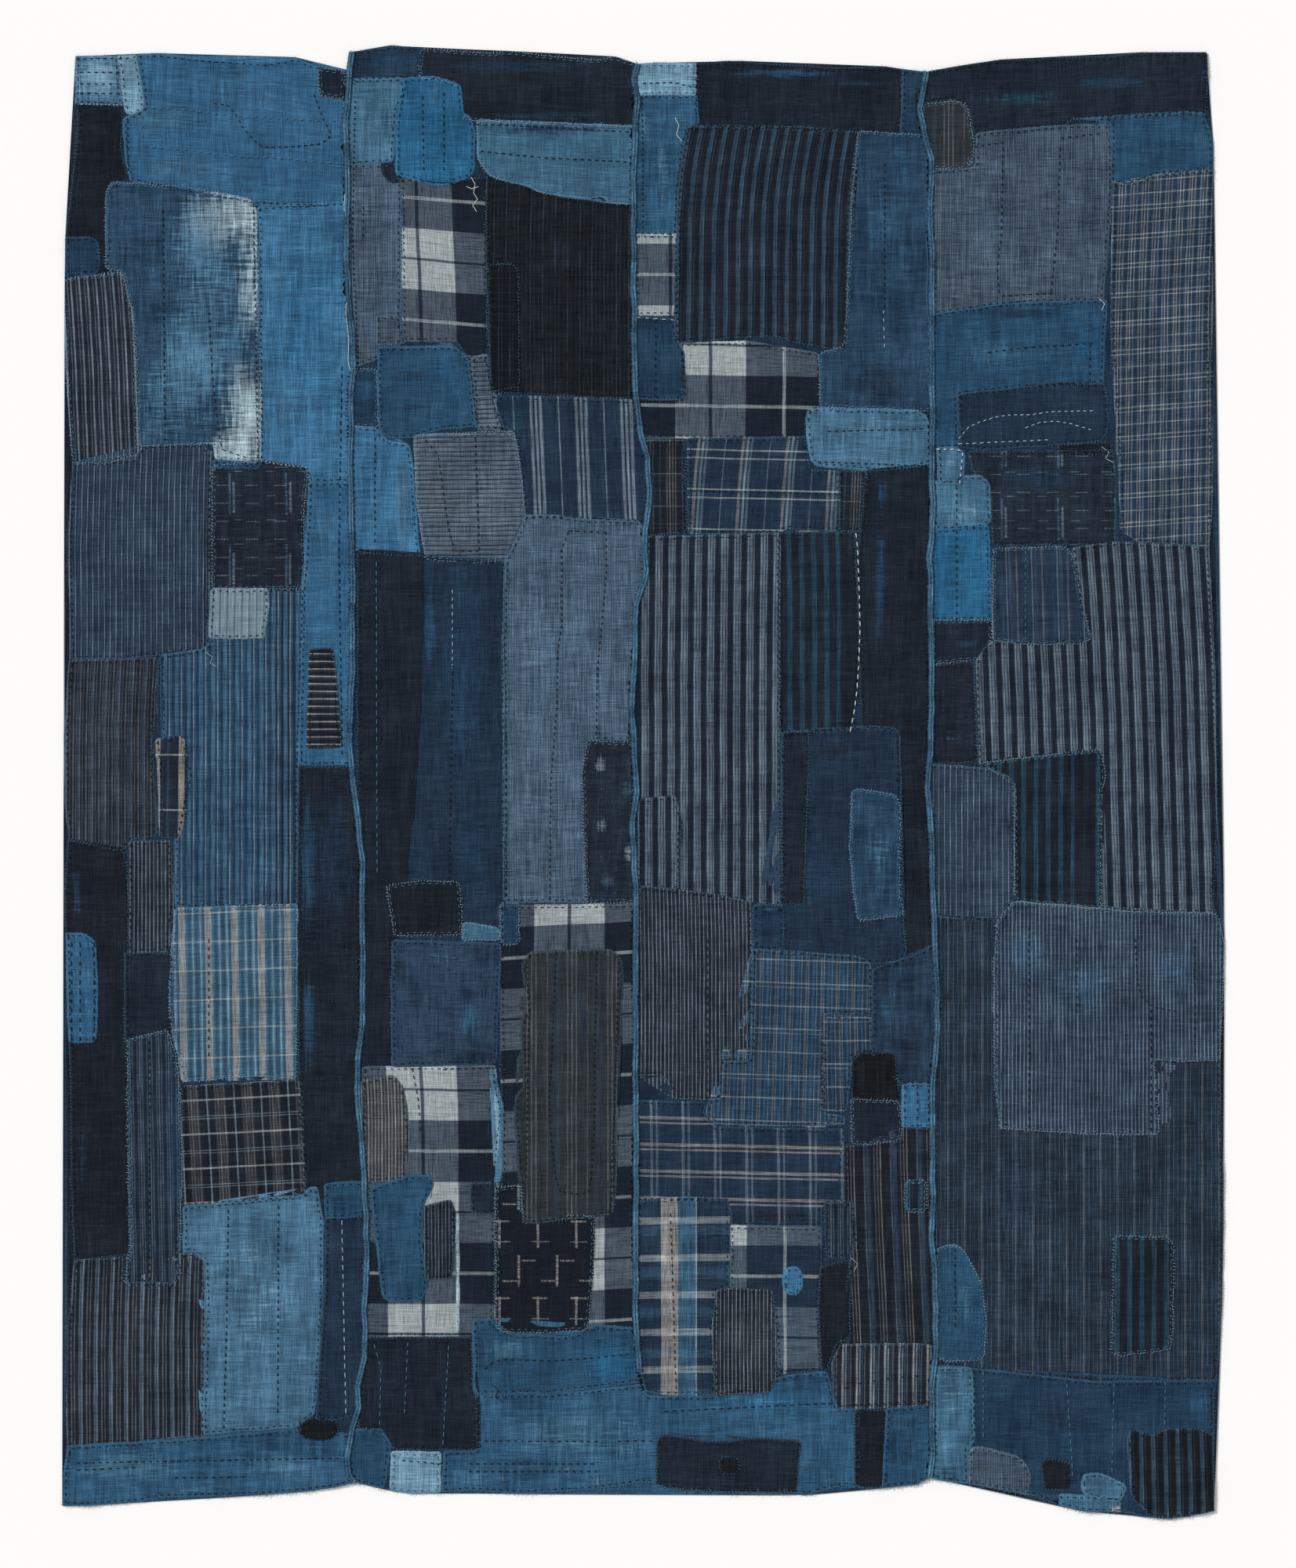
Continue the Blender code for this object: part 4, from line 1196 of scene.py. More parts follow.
        (1077, 1436), (997, 1437), (912, 1435), (899, 1422), (904, 1400), (920, 1400), (922, 1352),
        (956, 1352)), shift=(968, 1254), lean=-1.5, rise=-2),
    Patch(2, "small_plaid_cotton", "midnight", (
        (1049, 1292), (1113, 1297), (1116, 1327), (1115, 1343), (1088, 1346), (1083, 1403),
        (1079, 1420), (1047, 1417)), shift=(1052, 0), lean=1, stains=(
            Stain(1080, 1350, 30, 60, "teal", 0.5),)),
    Patch(2, WASHED, "midnight", (
        (1112, 1235), (1157, 1220), (1200, 1200), (1200, 1385), (1150, 1385), (1110, 1343)), rim=0.1,
        stains=(Stain(1130, 1290, 20, 40, "indigo", 0.5), Stain(1150, 1240, 20, 20, "deep", 0.6),
                Stain(1160, 1330, 30, 40, "ink", 0.6))),
    Patch(2, DARK, "night", (
        (1085, 1400), (1148, 1404), (1152, 1436), (1149, 1454), (1112, 1461), (1085, 1459)), rim=0.5),
    Patch(2, DARK, "black", (
        (1086, 1354), (1098, 1340), (1142, 1343), (1148, 1403), (1123, 1407), (1086, 1402)), rim=0.15),
    Patch(2, WASHED, "azure", ((1150, 1381), (1200, 1381), (1200, 1438), (1150, 1440)), rim=0.5),
    Patch(2, "brown_triple_striped_cotton", "soot", (
        (1076, 1461), (1150, 1455), (1150, 1438), (1200, 1438), (1200, 1716), (1071, 1716),
        (1083, 1607), (1090, 1589), (1076, 1532)), shift=(1088, 1435), lean=2.5, bow=2, rim=0.15),
    Patch(2, "black_and_blue_striped_cotton", "ink", (
        (1153, 1504), (1183, 1504), (1183, 1547), (1153, 1547)),
          shift=(1158, 0), corner=6, rim=0.5),
    Patch(2, "sand_plaid_cotton", "midnight", (
        (800, 1403), (900, 1405), (899, 1424), (912, 1437), (1079, 1440), (1074, 1504), (1078, 1534),
        (1049, 1537), (1049, 1566), (932, 1564), (929, 1533), (800, 1533)), shift=(831, 1428), rise=-1.2,
        lean=0.4, rim=0.3, stains=(Stain(990, 1550, 70, 14, "ink", 1),)),
    Patch(2, "rib_striped_cotton", "ink", (
        (1051, 1533), (1090, 1533), (1092, 1589), (1085, 1605), (1053, 1605)), shift=(1057, 0)),
    Patch(2, CHECK, "storm", (
        (930, 1562), (1049, 1565), (1048, 1615), (1045, 1669), (1049, 1748), (992, 1754), (985, 1665),
        (930, 1647)), shift=(907, 1550), rise=-0.5, sway=0.4),
    Patch(2, "wide_plaid_cotton", "midnight", (
        (800, 1534), (863, 1526), (929, 1529), (932, 1560), (931, 1642), (914, 1645), (910, 1697),
        (914, 1780), (850, 1780), (822, 1776), (800, 1762)), rise=0.8, rim=0.4),
    Patch(2, WASHED, "azure", (
        (997, 1634), (1000, 1619), (1011, 1613), (1022, 1619), (1026, 1634), (1022, 1649), (1011, 1654),
        (1000, 1649)), corner=5, rim=0.7),
    Patch(2, "pin_striped_cotton", "soot", (
        (912, 1645), (934, 1642), (986, 1645), (990, 1669), (992, 1751), (984, 1776), (910, 1781),
        (908, 1697)), shift=(914, 0), rim=0.3, stains=(Stain(950, 1710, 60, 80, "umber", 0.6),)),
    Patch(2, DARK, "soot", (
        (1045, 1615), (1085, 1607), (1085, 1705), (1068, 1713), (1055, 1747), (1046, 1746),
        (1042, 1669)), rim=0.25),
    Patch(2, DARK, "soot", ((1090, 1797), (1132, 1797), (1126, 1910), (1090, 1910)), rim=0.1),
    Patch(2, PLAIN, "indigo", (
        (1130, 1795), (1200, 1790), (1200, 1880), (1190, 1900), (1124, 1910)), rim=0.4, stains=(
            Stain(1160, 1850, 12, 50, "midnight", 0.6), Stain(1140, 1850, 8, 50, "night", 0.6))),
    Patch(2, "pale_wide_striped_cotton", "ink", (
        (1071, 1714), (1178, 1713), (1200, 1721), (1200, 1792), (1123, 1796), (1068, 1798),
        (1061, 1779), (1061, 1735)), shift=(1076, 0), lean=-1, rim=0.5),
    Patch(2, DARK, "night", (
        (837, 1836), (846, 1829), (899, 1837), (926, 1839), (951, 1833), (1022, 1837), (1018, 1888),
        (1015, 1915), (877, 1912), (836, 1903)), rim=0.4, stains=(
            Stain(900, 1870, 60, 30, "ink", 0.8),)),
    Patch(2, DARK, "black", ((917, 1857), (943, 1857), (943, 1880), (917, 1880)), corner=5, rim=0.1),

    # Fourth panel
    Patch(3, PLAIN, "midnight", ((1170, 55), (1575, 55), (1575, 1950), (1170, 1950)), hem=False),
    Patch(3, DARK, "night", (
        (1170, 55), (1560, 55), (1560, 147), (1508, 147), (1440, 152), (1364, 154), (1359, 162),
        (1240, 172), (1238, 145), (1217, 127), (1170, 133)), rise=2, rim=0.1, stains=(
            Stain(1300, 125, 90, 16, "teal", 0.7), Stain(1420, 105, 90, 12, "deep", 0.8),
            Stain(1540, 95, 16, 30, "indigo", 0.5))),
    Patch(3, PLAIN, "indigo", (
        (1364, 151), (1508, 142), (1537, 143), (1560, 182), (1560, 216), (1478, 224), (1437, 238),
        (1416, 234), (1416, 157)), rim=0.5, stains=(Stain(1535, 180, 24, 30, "mid", 0.6),)),
    Patch(3, CHAMBRAY, "slate", (
        (1244, 169), (1359, 159), (1414, 158), (1419, 190), (1420, 239), (1412, 342), (1408, 385),
        (1332, 386), (1278, 390), (1180, 404), (1180, 217), (1243, 212)), rim=0.15, stains=(
            Stain(1260, 290, 50, 60, "chambray", 0.8), Stain(1320, 240, 40, 60, "taupe", 0.35),
            Stain(1390, 270, 26, 120, "midnight", 0.9), Stain(1230, 370, 50, 30, "taupe", 0.4))),
    Patch(3, "long_grey_striped_cotton", "umber", (
        (1170, 134), (1217, 127), (1234, 134), (1243, 180), (1241, 201), (1234, 212), (1216, 217),
        (1180, 215)), shift=(1210, 0), rim=0.4),
    Patch(3, "ladder_plaid_cotton", "storm", (
        (1418, 230), (1437, 234), (1478, 220), (1560, 212), (1560, 347), (1560, 430), (1560, 597),
        (1560, 646), (1560, 699), (1451, 692), (1429, 677), (1424, 565), (1416, 430)), shift=(1422, 259),
        lean=-0.5, rise=4.5, bow=6, sway=0.4, rim=0.15),
    Patch(3, PLAIN, "indigo", (
        (1180, 400), (1278, 386), (1404, 381), (1413, 382), (1410, 430), (1408, 490), (1300, 496),
        (1222, 504), (1224, 572), (1180, 574)), rise=2, rim=0.45, stains=(
            Stain(1300, 400, 110, 14, "deep", 0.9), Stain(1270, 450, 80, 30, "mid", 0.5),
            Stain(1380, 440, 30, 40, "cobalt", 0.6))),
    Patch(3, PLAIN, "midnight", (
        (1220, 501), (1356, 486), (1408, 488), (1414, 511), (1413, 552), (1405, 564), (1251, 575),
        (1224, 570)), rim=0.5, stains=(Stain(1340, 530, 60, 20, "deep", 0.5),)),
    Patch(3, "blue_kasuri_cotton", "night", (
        (1234, 575), (1420, 574), (1424, 619), (1424, 696), (1346, 695), (1266, 697), (1262, 619),
        (1240, 603)), shift=(1278, 662), rim=0.2, stains=(Stain(1330, 610, 90, 30, "midnight", 0.8),)),
    Patch(3, DARK, "soot", ((1350, 566), (1418, 563), (1418, 579), (1350, 580)), corner=2, rim=0.3),
    Patch(3, WASHED, "mid", (
        (1180, 616), (1228, 606), (1251, 605), (1263, 616), (1265, 665), (1248, 676), (1180, 676)),
        rim=0.6, stains=(Stain(1235, 650, 30, 30, "pale", 0.5),)),
    Patch(3, WASHED, "mid", ((1194, 570), (1220, 569), (1232, 577), (1228, 619), (1196, 619)),
          stains=(Stain(1212, 590, 20, 24, "pale", 0.4),)),
    Patch(3, PLAIN, "cobalt", ((1180, 676), (1262, 668), (1266, 792), (1180, 792)), rim=0.4,
          stains=(Stain(1230, 690, 30, 20, "azure", 0.4),)),
    Patch(3, DARK, "night", ((1180, 791), (1266, 790), (1265, 829), (1259, 841), (1180, 849)), rim=0.5,
          stains=(Stain(1230, 822, 30, 8, "indigo", 0.6),)),
    Patch(3, "grey_loom_striped_cotton", "ink", (
        (1366, 698), (1425, 690), (1451, 692), (1560, 698), (1565, 800), (1565, 1165), (1454, 1166),
        (1400, 1160), (1400, 960), (1305, 968), (1246, 976), (1242, 845), (1262, 818), (1380, 812)),
        shift=(1402, 0), lean=1.6, bow=-6, rim=0.15),
    Patch(3, "green_grey_striped_cotton", "storm", (
        (1266, 699), (1359, 696), (1370, 708), (1381, 768), (1393, 816), (1375, 822), (1310, 823),
        (1265, 817)), shift=(1289, 0), lean=1.5, rim=0.3, stains=(
            Stain(1340, 800, 60, 40, "storm", 0.8),)),
    Patch(3, DARK, "ink", ((1180, 848), (1243, 844), (1248, 972), (1180, 975)), rim=0.2,
          stains=(Stain(1220, 940, 40, 3, "mid", 0.8),)),
    Patch(3, "teal_striped_cotton", "soot", (
        (1251, 972), (1402, 955), (1412, 988), (1405, 1012), (1405, 1160), (1294, 1150), (1292, 1002),
        (1270, 987)), shift=(1305, 0), rim=0.3),
    Patch(3, "fine_blue_striped_cotton", "storm", (
        (1180, 973), (1259, 979), (1289, 991), (1296, 1002), (1294, 1145), (1286, 1174), (1254, 1176),
        (1180, 1169)), shift=(1205, 0), rim=0.35),
    Patch(3, "brown_rib_cotton", "night", (
        (1180, 1168), (1275, 1170), (1275, 1430), (1470, 1440), (1470, 1350), (1575, 1350), (1570, 1762),
        (1480, 1762), (1400, 1764), (1251, 1748), (1180, 1740)), shift=(1200, 0), rim=0.3, stains=(
            Stain(1300, 1520, 60, 90, "deep", 0.5), Stain(1390, 1700, 90, 50, "night", 0.5))),
    Patch(3, "striped_rib_cotton", "storm", (
        (1292, 1149), (1400, 1158), (1454, 1162), (1548, 1164), (1570, 1172), (1575, 1202),
        (1575, 1352), (1508, 1355), (1472, 1352), (1479, 1444), (1475, 1448), (1386, 1447),
        (1275, 1440), (1268, 1379), (1267, 1239), (1270, 1176)), shift=(1272, 0), rim=0.4, stains=(
            Stain(1310, 1220, 50, 60, "indigo", 0.7), Stain(1380, 1260, 90, 70, "indigo", 0.6),
            Stain(1400, 1400, 80, 40, "midnight", 0.5), Stain(1500, 1240, 50, 70, "indigo", 0.6))),
    Patch(3, PLAIN, "indigo", (
        (1185, 1598), (1204, 1588), (1224, 1587), (1234, 1600), (1254, 1641), (1259, 1690), (1256, 1735),
        (1204, 1738), (1185, 1722)), corner=6, rim=0.4, stains=(Stain(1230, 1660, 22, 50, "mid", 0.6),)),
    Patch(3, "teal_striped_cotton", "soot", (
        (1420, 1576), (1489, 1577), (1498, 1587), (1497, 1690), (1494, 1722), (1429, 1730),
        (1417, 1726)), shift=(1440, 0), rim=0.4),
    Patch(3, PLAIN, "deep", (
        (1238, 1744), (1400, 1762), (1575, 1760), (1575, 1960), (1238, 1960)), rim=0.2, stains=(
            Stain(1350, 1800, 90, 50, "midnight", 0.6), Stain(1530, 1790, 30, 30, "indigo", 0.8))),
    Patch(3, WASHED, "mid", (
        (1180, 1742), (1241, 1744), (1244, 1838), (1235, 1845), (1236, 1900), (1180, 1900)),
          rim=0.5, stains=(Stain(1220, 1780, 40, 40, "pale", 0.4), Stain(1210, 1880, 30, 20, "deep", 0.7))),
    Patch(3, CHAMBRAY, "slate", (
        (1234, 1846), (1254, 1844), (1302, 1858), (1316, 1877), (1310, 1920), (1235, 1910)), corner=6,
        rim=0.9, stains=(Stain(1275, 1875, 40, 30, "umber", 0.5),)),
    Patch(3, DARK, "soot", (
        (1327, 1864), (1335, 1858), (1366, 1865), (1366, 1900), (1331, 1901)), rim=0.3),
    Patch(3, WASHED, "mid", ((1350, 1905), (1430, 1908), (1430, 1940), (1350, 1935)), rim=0.3,
          stains=(Stain(1425, 1925, 14, 12, "sand", 0.8),)),
    Patch(3, WASHED, "wash", (
        (1378, 1885), (1386, 1878), (1408, 1879), (1439, 1895), (1429, 1919), (1379, 1906)), corner=5,
        rim=0.5),
    Patch(3, "black_and_blue_striped_cotton", "black", (
        (1436, 1838), (1443, 1822), (1472, 1831), (1486, 1822), (1532, 1822), (1575, 1846), (1575, 1955),
        (1491, 1955), (1443, 1911)), shift=(1456, 0), lean=1.5, rim=0.35),
)


# Rows of running stitches that cross the patches, apart from those round their edges. The pitch
# is from stitch to stitch.
Row = namedtuple("Row", "panel thread pitch points")
ROWS = (
    Row(0, "faded", 10, ((185, 137), (240, 140), (305, 149), (435, 155))),
    Row(0, "faded", 10, ((185, 187), (240, 191), (299, 199), (360, 202), (441, 209))),
    Row(0, "faded", 9, ((181, 150), (182, 185))),
    Row(0, "dark", 8, ((163, 155), (163, 225))),
    Row(0, "dark", 8, ((275, 132), (290, 134), (299, 143), (308, 160), (318, 173), (330, 185), (342, 188),
                       (377, 187), (406, 184), (418, 178), (422, 170), (412, 152), (401, 122))),
    Row(0, "dark", 8, ((104, 92), (150, 92))),
    Row(0, "dark", 8, ((104, 107), (150, 107))),
    Row(0, "dark", 8, ((104, 119), (150, 119))),
    Row(0, "pale", 5, ((100, 133), (155, 134))),
    Row(0, "pale", 5, ((334, 588), (362, 593), (390, 596))),
    Row(0, "dark", 8, ((323, 262), (326, 420), (329, 590))),
    Row(0, "dark", 9, ((208, 270), (210, 560))),
    Row(0, "dark", 9, ((267, 400), (270, 470), (275, 520), (280, 560), (283, 573), (312, 583))),
    Row(0, "dark", 10, ((436, 470), (432, 700), (436, 960))),
    Row(0, "dark", 12, ((91, 1205), (91, 1325))),
    Row(0, "dark", 12, ((102, 1205), (102, 1325))),
    Row(0, "dark", 12, ((120, 1205), (120, 1325))),
    Row(0, "dark", 10, ((266, 1200), (266, 1345))),
    Row(0, "dark", 9, ((190, 1330), (190, 1640))),
    Row(0, "dark", 9, ((291, 1545), (289, 1680), (285, 1820))),
    Row(0, "dark", 9, ((355, 1540), (354, 1800))),
    Row(0, "pale", 11, ((436, 1560), (441, 1800))),
    Row(0, "dark", 9, ((100, 1866), (430, 1860))),
    Row(0, "dark", 9, ((100, 1875), (170, 1872))),
    Row(0, "dark", 9, ((225, 1885), (310, 1884))),
    Row(1, "dark", 7, ((453, 130), (449, 300), (457, 470))),
    Row(1, "dark", 9, ((539, 125), (540, 215))),
    Row(1, "dark", 9, ((566, 120), (566, 215))),
    Row(1, "dark", 9, ((615, 193), (650, 197), (700, 202), (760, 204), (806, 207))),
    Row(1, "dark", 9, ((610, 159), (700, 162), (800, 168))),
    Row(1, "dark", 8, ((463, 265), (463, 300))),
    Row(1, "dark", 9, ((478, 560), (478, 690))),
    Row(1, "dark", 9, ((606, 560), (611, 700))),
    Row(1, "dark", 9, ((544, 563), (558, 580), (563, 610), (567, 640), (573, 680), (580, 702), (608, 703))),
    Row(1, "dark", 8, ((728, 677), (771, 679))),
    Row(1, "dark", 8, ((724, 680), (716, 700), (716, 800), (711, 830), (710, 900), (702, 1000), (701, 1146))),
    Row(1, "dark", 8, ((773, 680), (773, 730), (768, 790), (762, 850), (760, 935))),
    Row(1, "dark", 9, ((645, 940), (645, 1140))),
    Row(1, "pale", 9, ((577, 755), (577, 850))),
    Row(1, "dark", 9, ((577, 850), (573, 1120))),
    Row(1, "blue", 11, ((480, 720), (481, 1110))),
    Row(1, "dark", 8, ((709, 1215), (706, 1280), (704, 1330), (700, 1400), (702, 1450), (708, 1500),
                       (714, 1520), (735, 1523), (750, 1521), (754, 1500), (758, 1420), (758, 1350),
                       (761, 1215))),
    Row(1, "dark", 8, ((788, 1240), (785, 1370), (778, 1545))),
    Row(1, "dark", 8, ((671, 1225), (674, 1290), (671, 1500))),
    Row(1, "dark", 9, ((526, 1365), (533, 1400), (536, 1440))),
    Row(1, "blue", 10, ((478, 1718), (486, 1745), (484, 1815))),
    Row(1, "blue", 10, ((520, 1715), (516, 1800))),
    Row(1, "blue", 10, ((572, 1720), (565, 1840))),
    Row(1, "dark", 9, ((620, 1745), (628, 1738), (640, 1734), (700, 1736), (760, 1732), (800, 1727))),
    Row(1, "dark", 9, ((620, 1838), (760, 1838))),
    Row(1, "dark", 9, ((790, 1838), (830, 1838))),
    Row(1, "dark", 9, ((600, 1867), (755, 1867))),
    Row(1, "dark", 9, ((600, 1877), (760, 1877))),
    Row(1, "dark", 9, ((515, 1863), (560, 1867))),
    Row(2, "dark", 8, ((822, 106), (860, 105), (875, 109), (888, 112))),
    Row(2, "dark", 7, ((819, 125), (820, 290))),
    Row(2, "pale", 9, ((815, 405), (858, 408))),
    Row(2, "dark", 9, ((836, 410), (836, 505))),
    Row(2, "dark", 9, ((1128, 210), (1128, 390))),
    Row(2, "pale", 9, ((1127, 398), (1128, 441))),
    Row(2, "dark", 9, ((1058, 550), (1175, 547))),
    Row(2, "dark", 8, ((1045, 589), (1180, 594))),
    Row(2, "dark", 8, ((885, 626), (1065, 630))),
    Row(2, "white", 11, ((1092, 683), (1094, 700), (1096, 760), (1097, 800), (1095, 850), (1093, 880),
                         (1089, 910), (1085, 930))),
    Row(2, "dark", 10, ((902, 1200), (902, 1400))),
    Row(2, "dark", 9, ((1170, 1385), (1170, 1436))),
    Row(2, "blue", 8, ((1157, 1509), (1179, 1509), (1179, 1542), (1157, 1542), (1157, 1512))),
    Row(2, "dark", 9, ((855, 1550), (862, 1770))),
    Row(2, "dark", 9, ((1080, 1770), (1100, 1764), (1140, 1757), (1178, 1754))),
    Row(2, "dark", 9, ((1072, 1793), (1180, 1786))),
    Row(2, "dark", 10, ((850, 1800), (1060, 1790))),
    Row(3, "dark", 8, ((1245, 187), (1278, 182))),
    Row(3, "dark", 9, ((1279, 190), (1277, 300), (1272, 340), (1274, 372))),
    Row(3, "dark", 9, ((1352, 190), (1349, 290), (1344, 340), (1341, 370))),
    Row(3, "dark", 8, ((1280, 377), (1340, 374))),
    Row(3, "dark", 8, ((1355, 176), (1400, 171))),
    Row(3, "dark", 9, ((1262, 449), (1300, 444), (1392, 438))),
    Row(3, "dark", 9, ((1390, 440), (1390, 485))),
    Row(3, "pale", 8, ((1224, 558), (1235, 545), (1250, 538), (1270, 532), (1290, 529), (1315, 529),
                       (1340, 525), (1392, 524))),
    Row(3, "pale", 8, ((1310, 545), (1325, 539), (1345, 537), (1365, 540), (1390, 548))),
    Row(3, "pale", 9, ((1225, 566), (1335, 561))),
    Row(3, "white", 8, ((1197, 573), (1215, 573), (1228, 575), (1226, 600), (1224, 615))),
    Row(3, "dark", 9, ((1220, 622), (1220, 800))),
    Row(3, "blue", 9, ((1308, 705), (1308, 815))),
    Row(3, "dark", 9, ((1312, 1185), (1312, 1436))),
    Row(3, "dark", 9, ((1373, 1200), (1373, 1290))),
    Row(3, "dark", 8, ((1448, 1200), (1450, 1245), (1455, 1270), (1470, 1284), (1499, 1290))),
    Row(3, "dark", 9, ((1524, 1200), (1524, 1340))),
    Row(3, "dark", 9, ((1468, 1290), (1468, 1440))),
    Row(3, "dark", 9, ((1218, 1595), (1218, 1690))),
    Row(3, "faded", 10, ((1361, 1768), (1368, 1880))),
    Row(3, "faded", 10, ((1421, 1768), (1418, 1875))),
    Row(3, "faded", 10, ((1486, 1765), (1486, 1815))),
    Row(3, "blue", 9, ((1254, 1752), (1254, 1830))),
)

THREADS = {
    "dark": ("dark_indigo_sewing_thread", "black"),
    "blue": ("indigo_sewing_thread", "mid"),
    "faded": ("loose_indigo_yarn", "wash"),
    "pale": ("faded_sewing_thread", "grey"),
    "white": ("undyed_sewing_thread", "undyed"),
}

# Loose thread ends, by the thread and the points that each lies along.
LooseEnd = namedtuple("LooseEnd", "panel thread points")
LOOSE_ENDS = (
    LooseEnd(0, "white", ((440, 208), (441, 235), (439, 262), (441, 300), (440, 335), (443, 362),
                          (441, 400), (445, 432), (444, 462), (448, 476))),
    LooseEnd(1, "faded", ((643, 722), (642, 800), (644, 900), (641, 1000), (643, 1080), (642, 1148))),
    LooseEnd(2, "faded", ((1181, 300), (1184, 340), (1182, 380), (1186, 420))),
    LooseEnd(1, "white", ((601, 226), (606, 235), (604, 246), (609, 254), (603, 262), (608, 270))),
    LooseEnd(1, "white", ((595, 238), (602, 241), (610, 238))),
    LooseEnd(2, "white", ((861, 150), (866, 160), (863, 172), (870, 180))),
    LooseEnd(0, "pale", ((263, 832), (271, 838), (268, 846), (276, 850))),
    LooseEnd(0, "dark", ((233, 1602), (240, 1612), (236, 1622), (246, 1628))),
    LooseEnd(3, "pale", ((1405, 570), (1414, 577), (1410, 585), (1420, 590))),
    LooseEnd(3, "white", ((1400, 380), (1409, 388), (1405, 396))),
    LooseEnd(2, "pale", ((1085, 1604), (1094, 1612), (1089, 1622))),
    LooseEnd(1, "dark", ((626, 1765), (636, 1772), (632, 1782), (642, 1788))),
)


# Sewing, seams and frays

# A strand's stations: how far along it they lie, how high and how thick they are.
STITCH_STATIONS = ((-0.5, -0.6, 0.7), (-0.2, 0.4, 1.0), (0.2, 0.4, 1.0), (0.5, -0.6, 0.7))
FRAY_STATIONS = ((-0.5, -0.6, 0.7), (0, 0.5, 1.0), (0.5, -0.4, 0.6))
FRAY_BEND = 7.0

# How strands lie along a line: from one to the next, their lengths and thickness in millimetres,
# and how far they turn aside.
Strands = namedtuple("Strands", "pitch shortest longest thickness turn")
HEM_STITCHES = Strands(8.6, 3.6, 6.0, 1.3, 0.22)
HEM_FRAYS = Strands(4.2, 2.0, 5.5, 0.65, 1.3)
SEAM_STITCHES = Strands(6.2, 3.0, 4.5, 1.0, 0.5)
EDGE_FRAYS = Strands(3.0, 3.0, 10.0, 0.7, 1.9)
HEM_STITCH_INSET, HEM_FRAY_INSET, EDGE_FRAY_INSET = 4.0, 0.8, 1.6
DARK_HEMS = 0.8  # the share of the hems that are sewn with dark thread
LOOSE_SIDES, LOOSE_RADIUS = 6, 0.4

# The rows' stitches: their lengths as shares of the pitch, their thickness and their turn.
ROW_SHORTEST, ROW_LONGEST, ROW_THICKNESS, ROW_TURN = 0.55, 0.75, 1.55, 0.12

# How high over the cloth's surface each kind of thread lies, in millimetres.
HEM_OVER, FRAY_OVER, ROW_OVER, SEAM_OVER, LOOSE_OVER, WORN_SEAM_OVER = 0.12, 0.1, 0.15, 0.7, 0.5, 1.6
LINE_PITCH = 3.0  # between the points of a line that strands or a ribbon follow
SEAM_JITTER = 0.7
WORN_SEAM_END = 1775  # how far down the seams fray


def tube_faces(rings, sides, first=0):
    """The faces of a closed tube of rings of points, numbered on from first."""
    faces = []
    for ring in range(rings - 1):
        for turn in range(sides):
            a, b = first + sides * ring + turn, first + sides * ring + (turn + 1) % sides
            faces.append((a, b, b + sides, a + sides))
    last = first + sides * (rings - 1)
    return faces + [tuple(range(first, first + sides))[::-1], tuple(range(last, last + sides))]


def strand_shape(name, stations, sides, bend=0.0):
    """A short bent length of thread along +X, one metre long and a millimetre thick."""
    points = []
    for place, height, thick in stations:
        side = bend * MM * (place * place - 0.125)
        for turn in range(sides):
            angle = math.pi / 2 + 2 * math.pi / sides * (turn + 0.5)
            y, z = 0.5 * thick * math.cos(angle), 0.5 * thick * math.sin(angle) + height
            points.append((place, side + y * MM, z * MM))
    mesh = bpy.data.meshes.new(name)
    mesh.from_pydata(points, [], tube_faces(len(stations), sides))
    return bpy.data.objects.new(name, mesh)


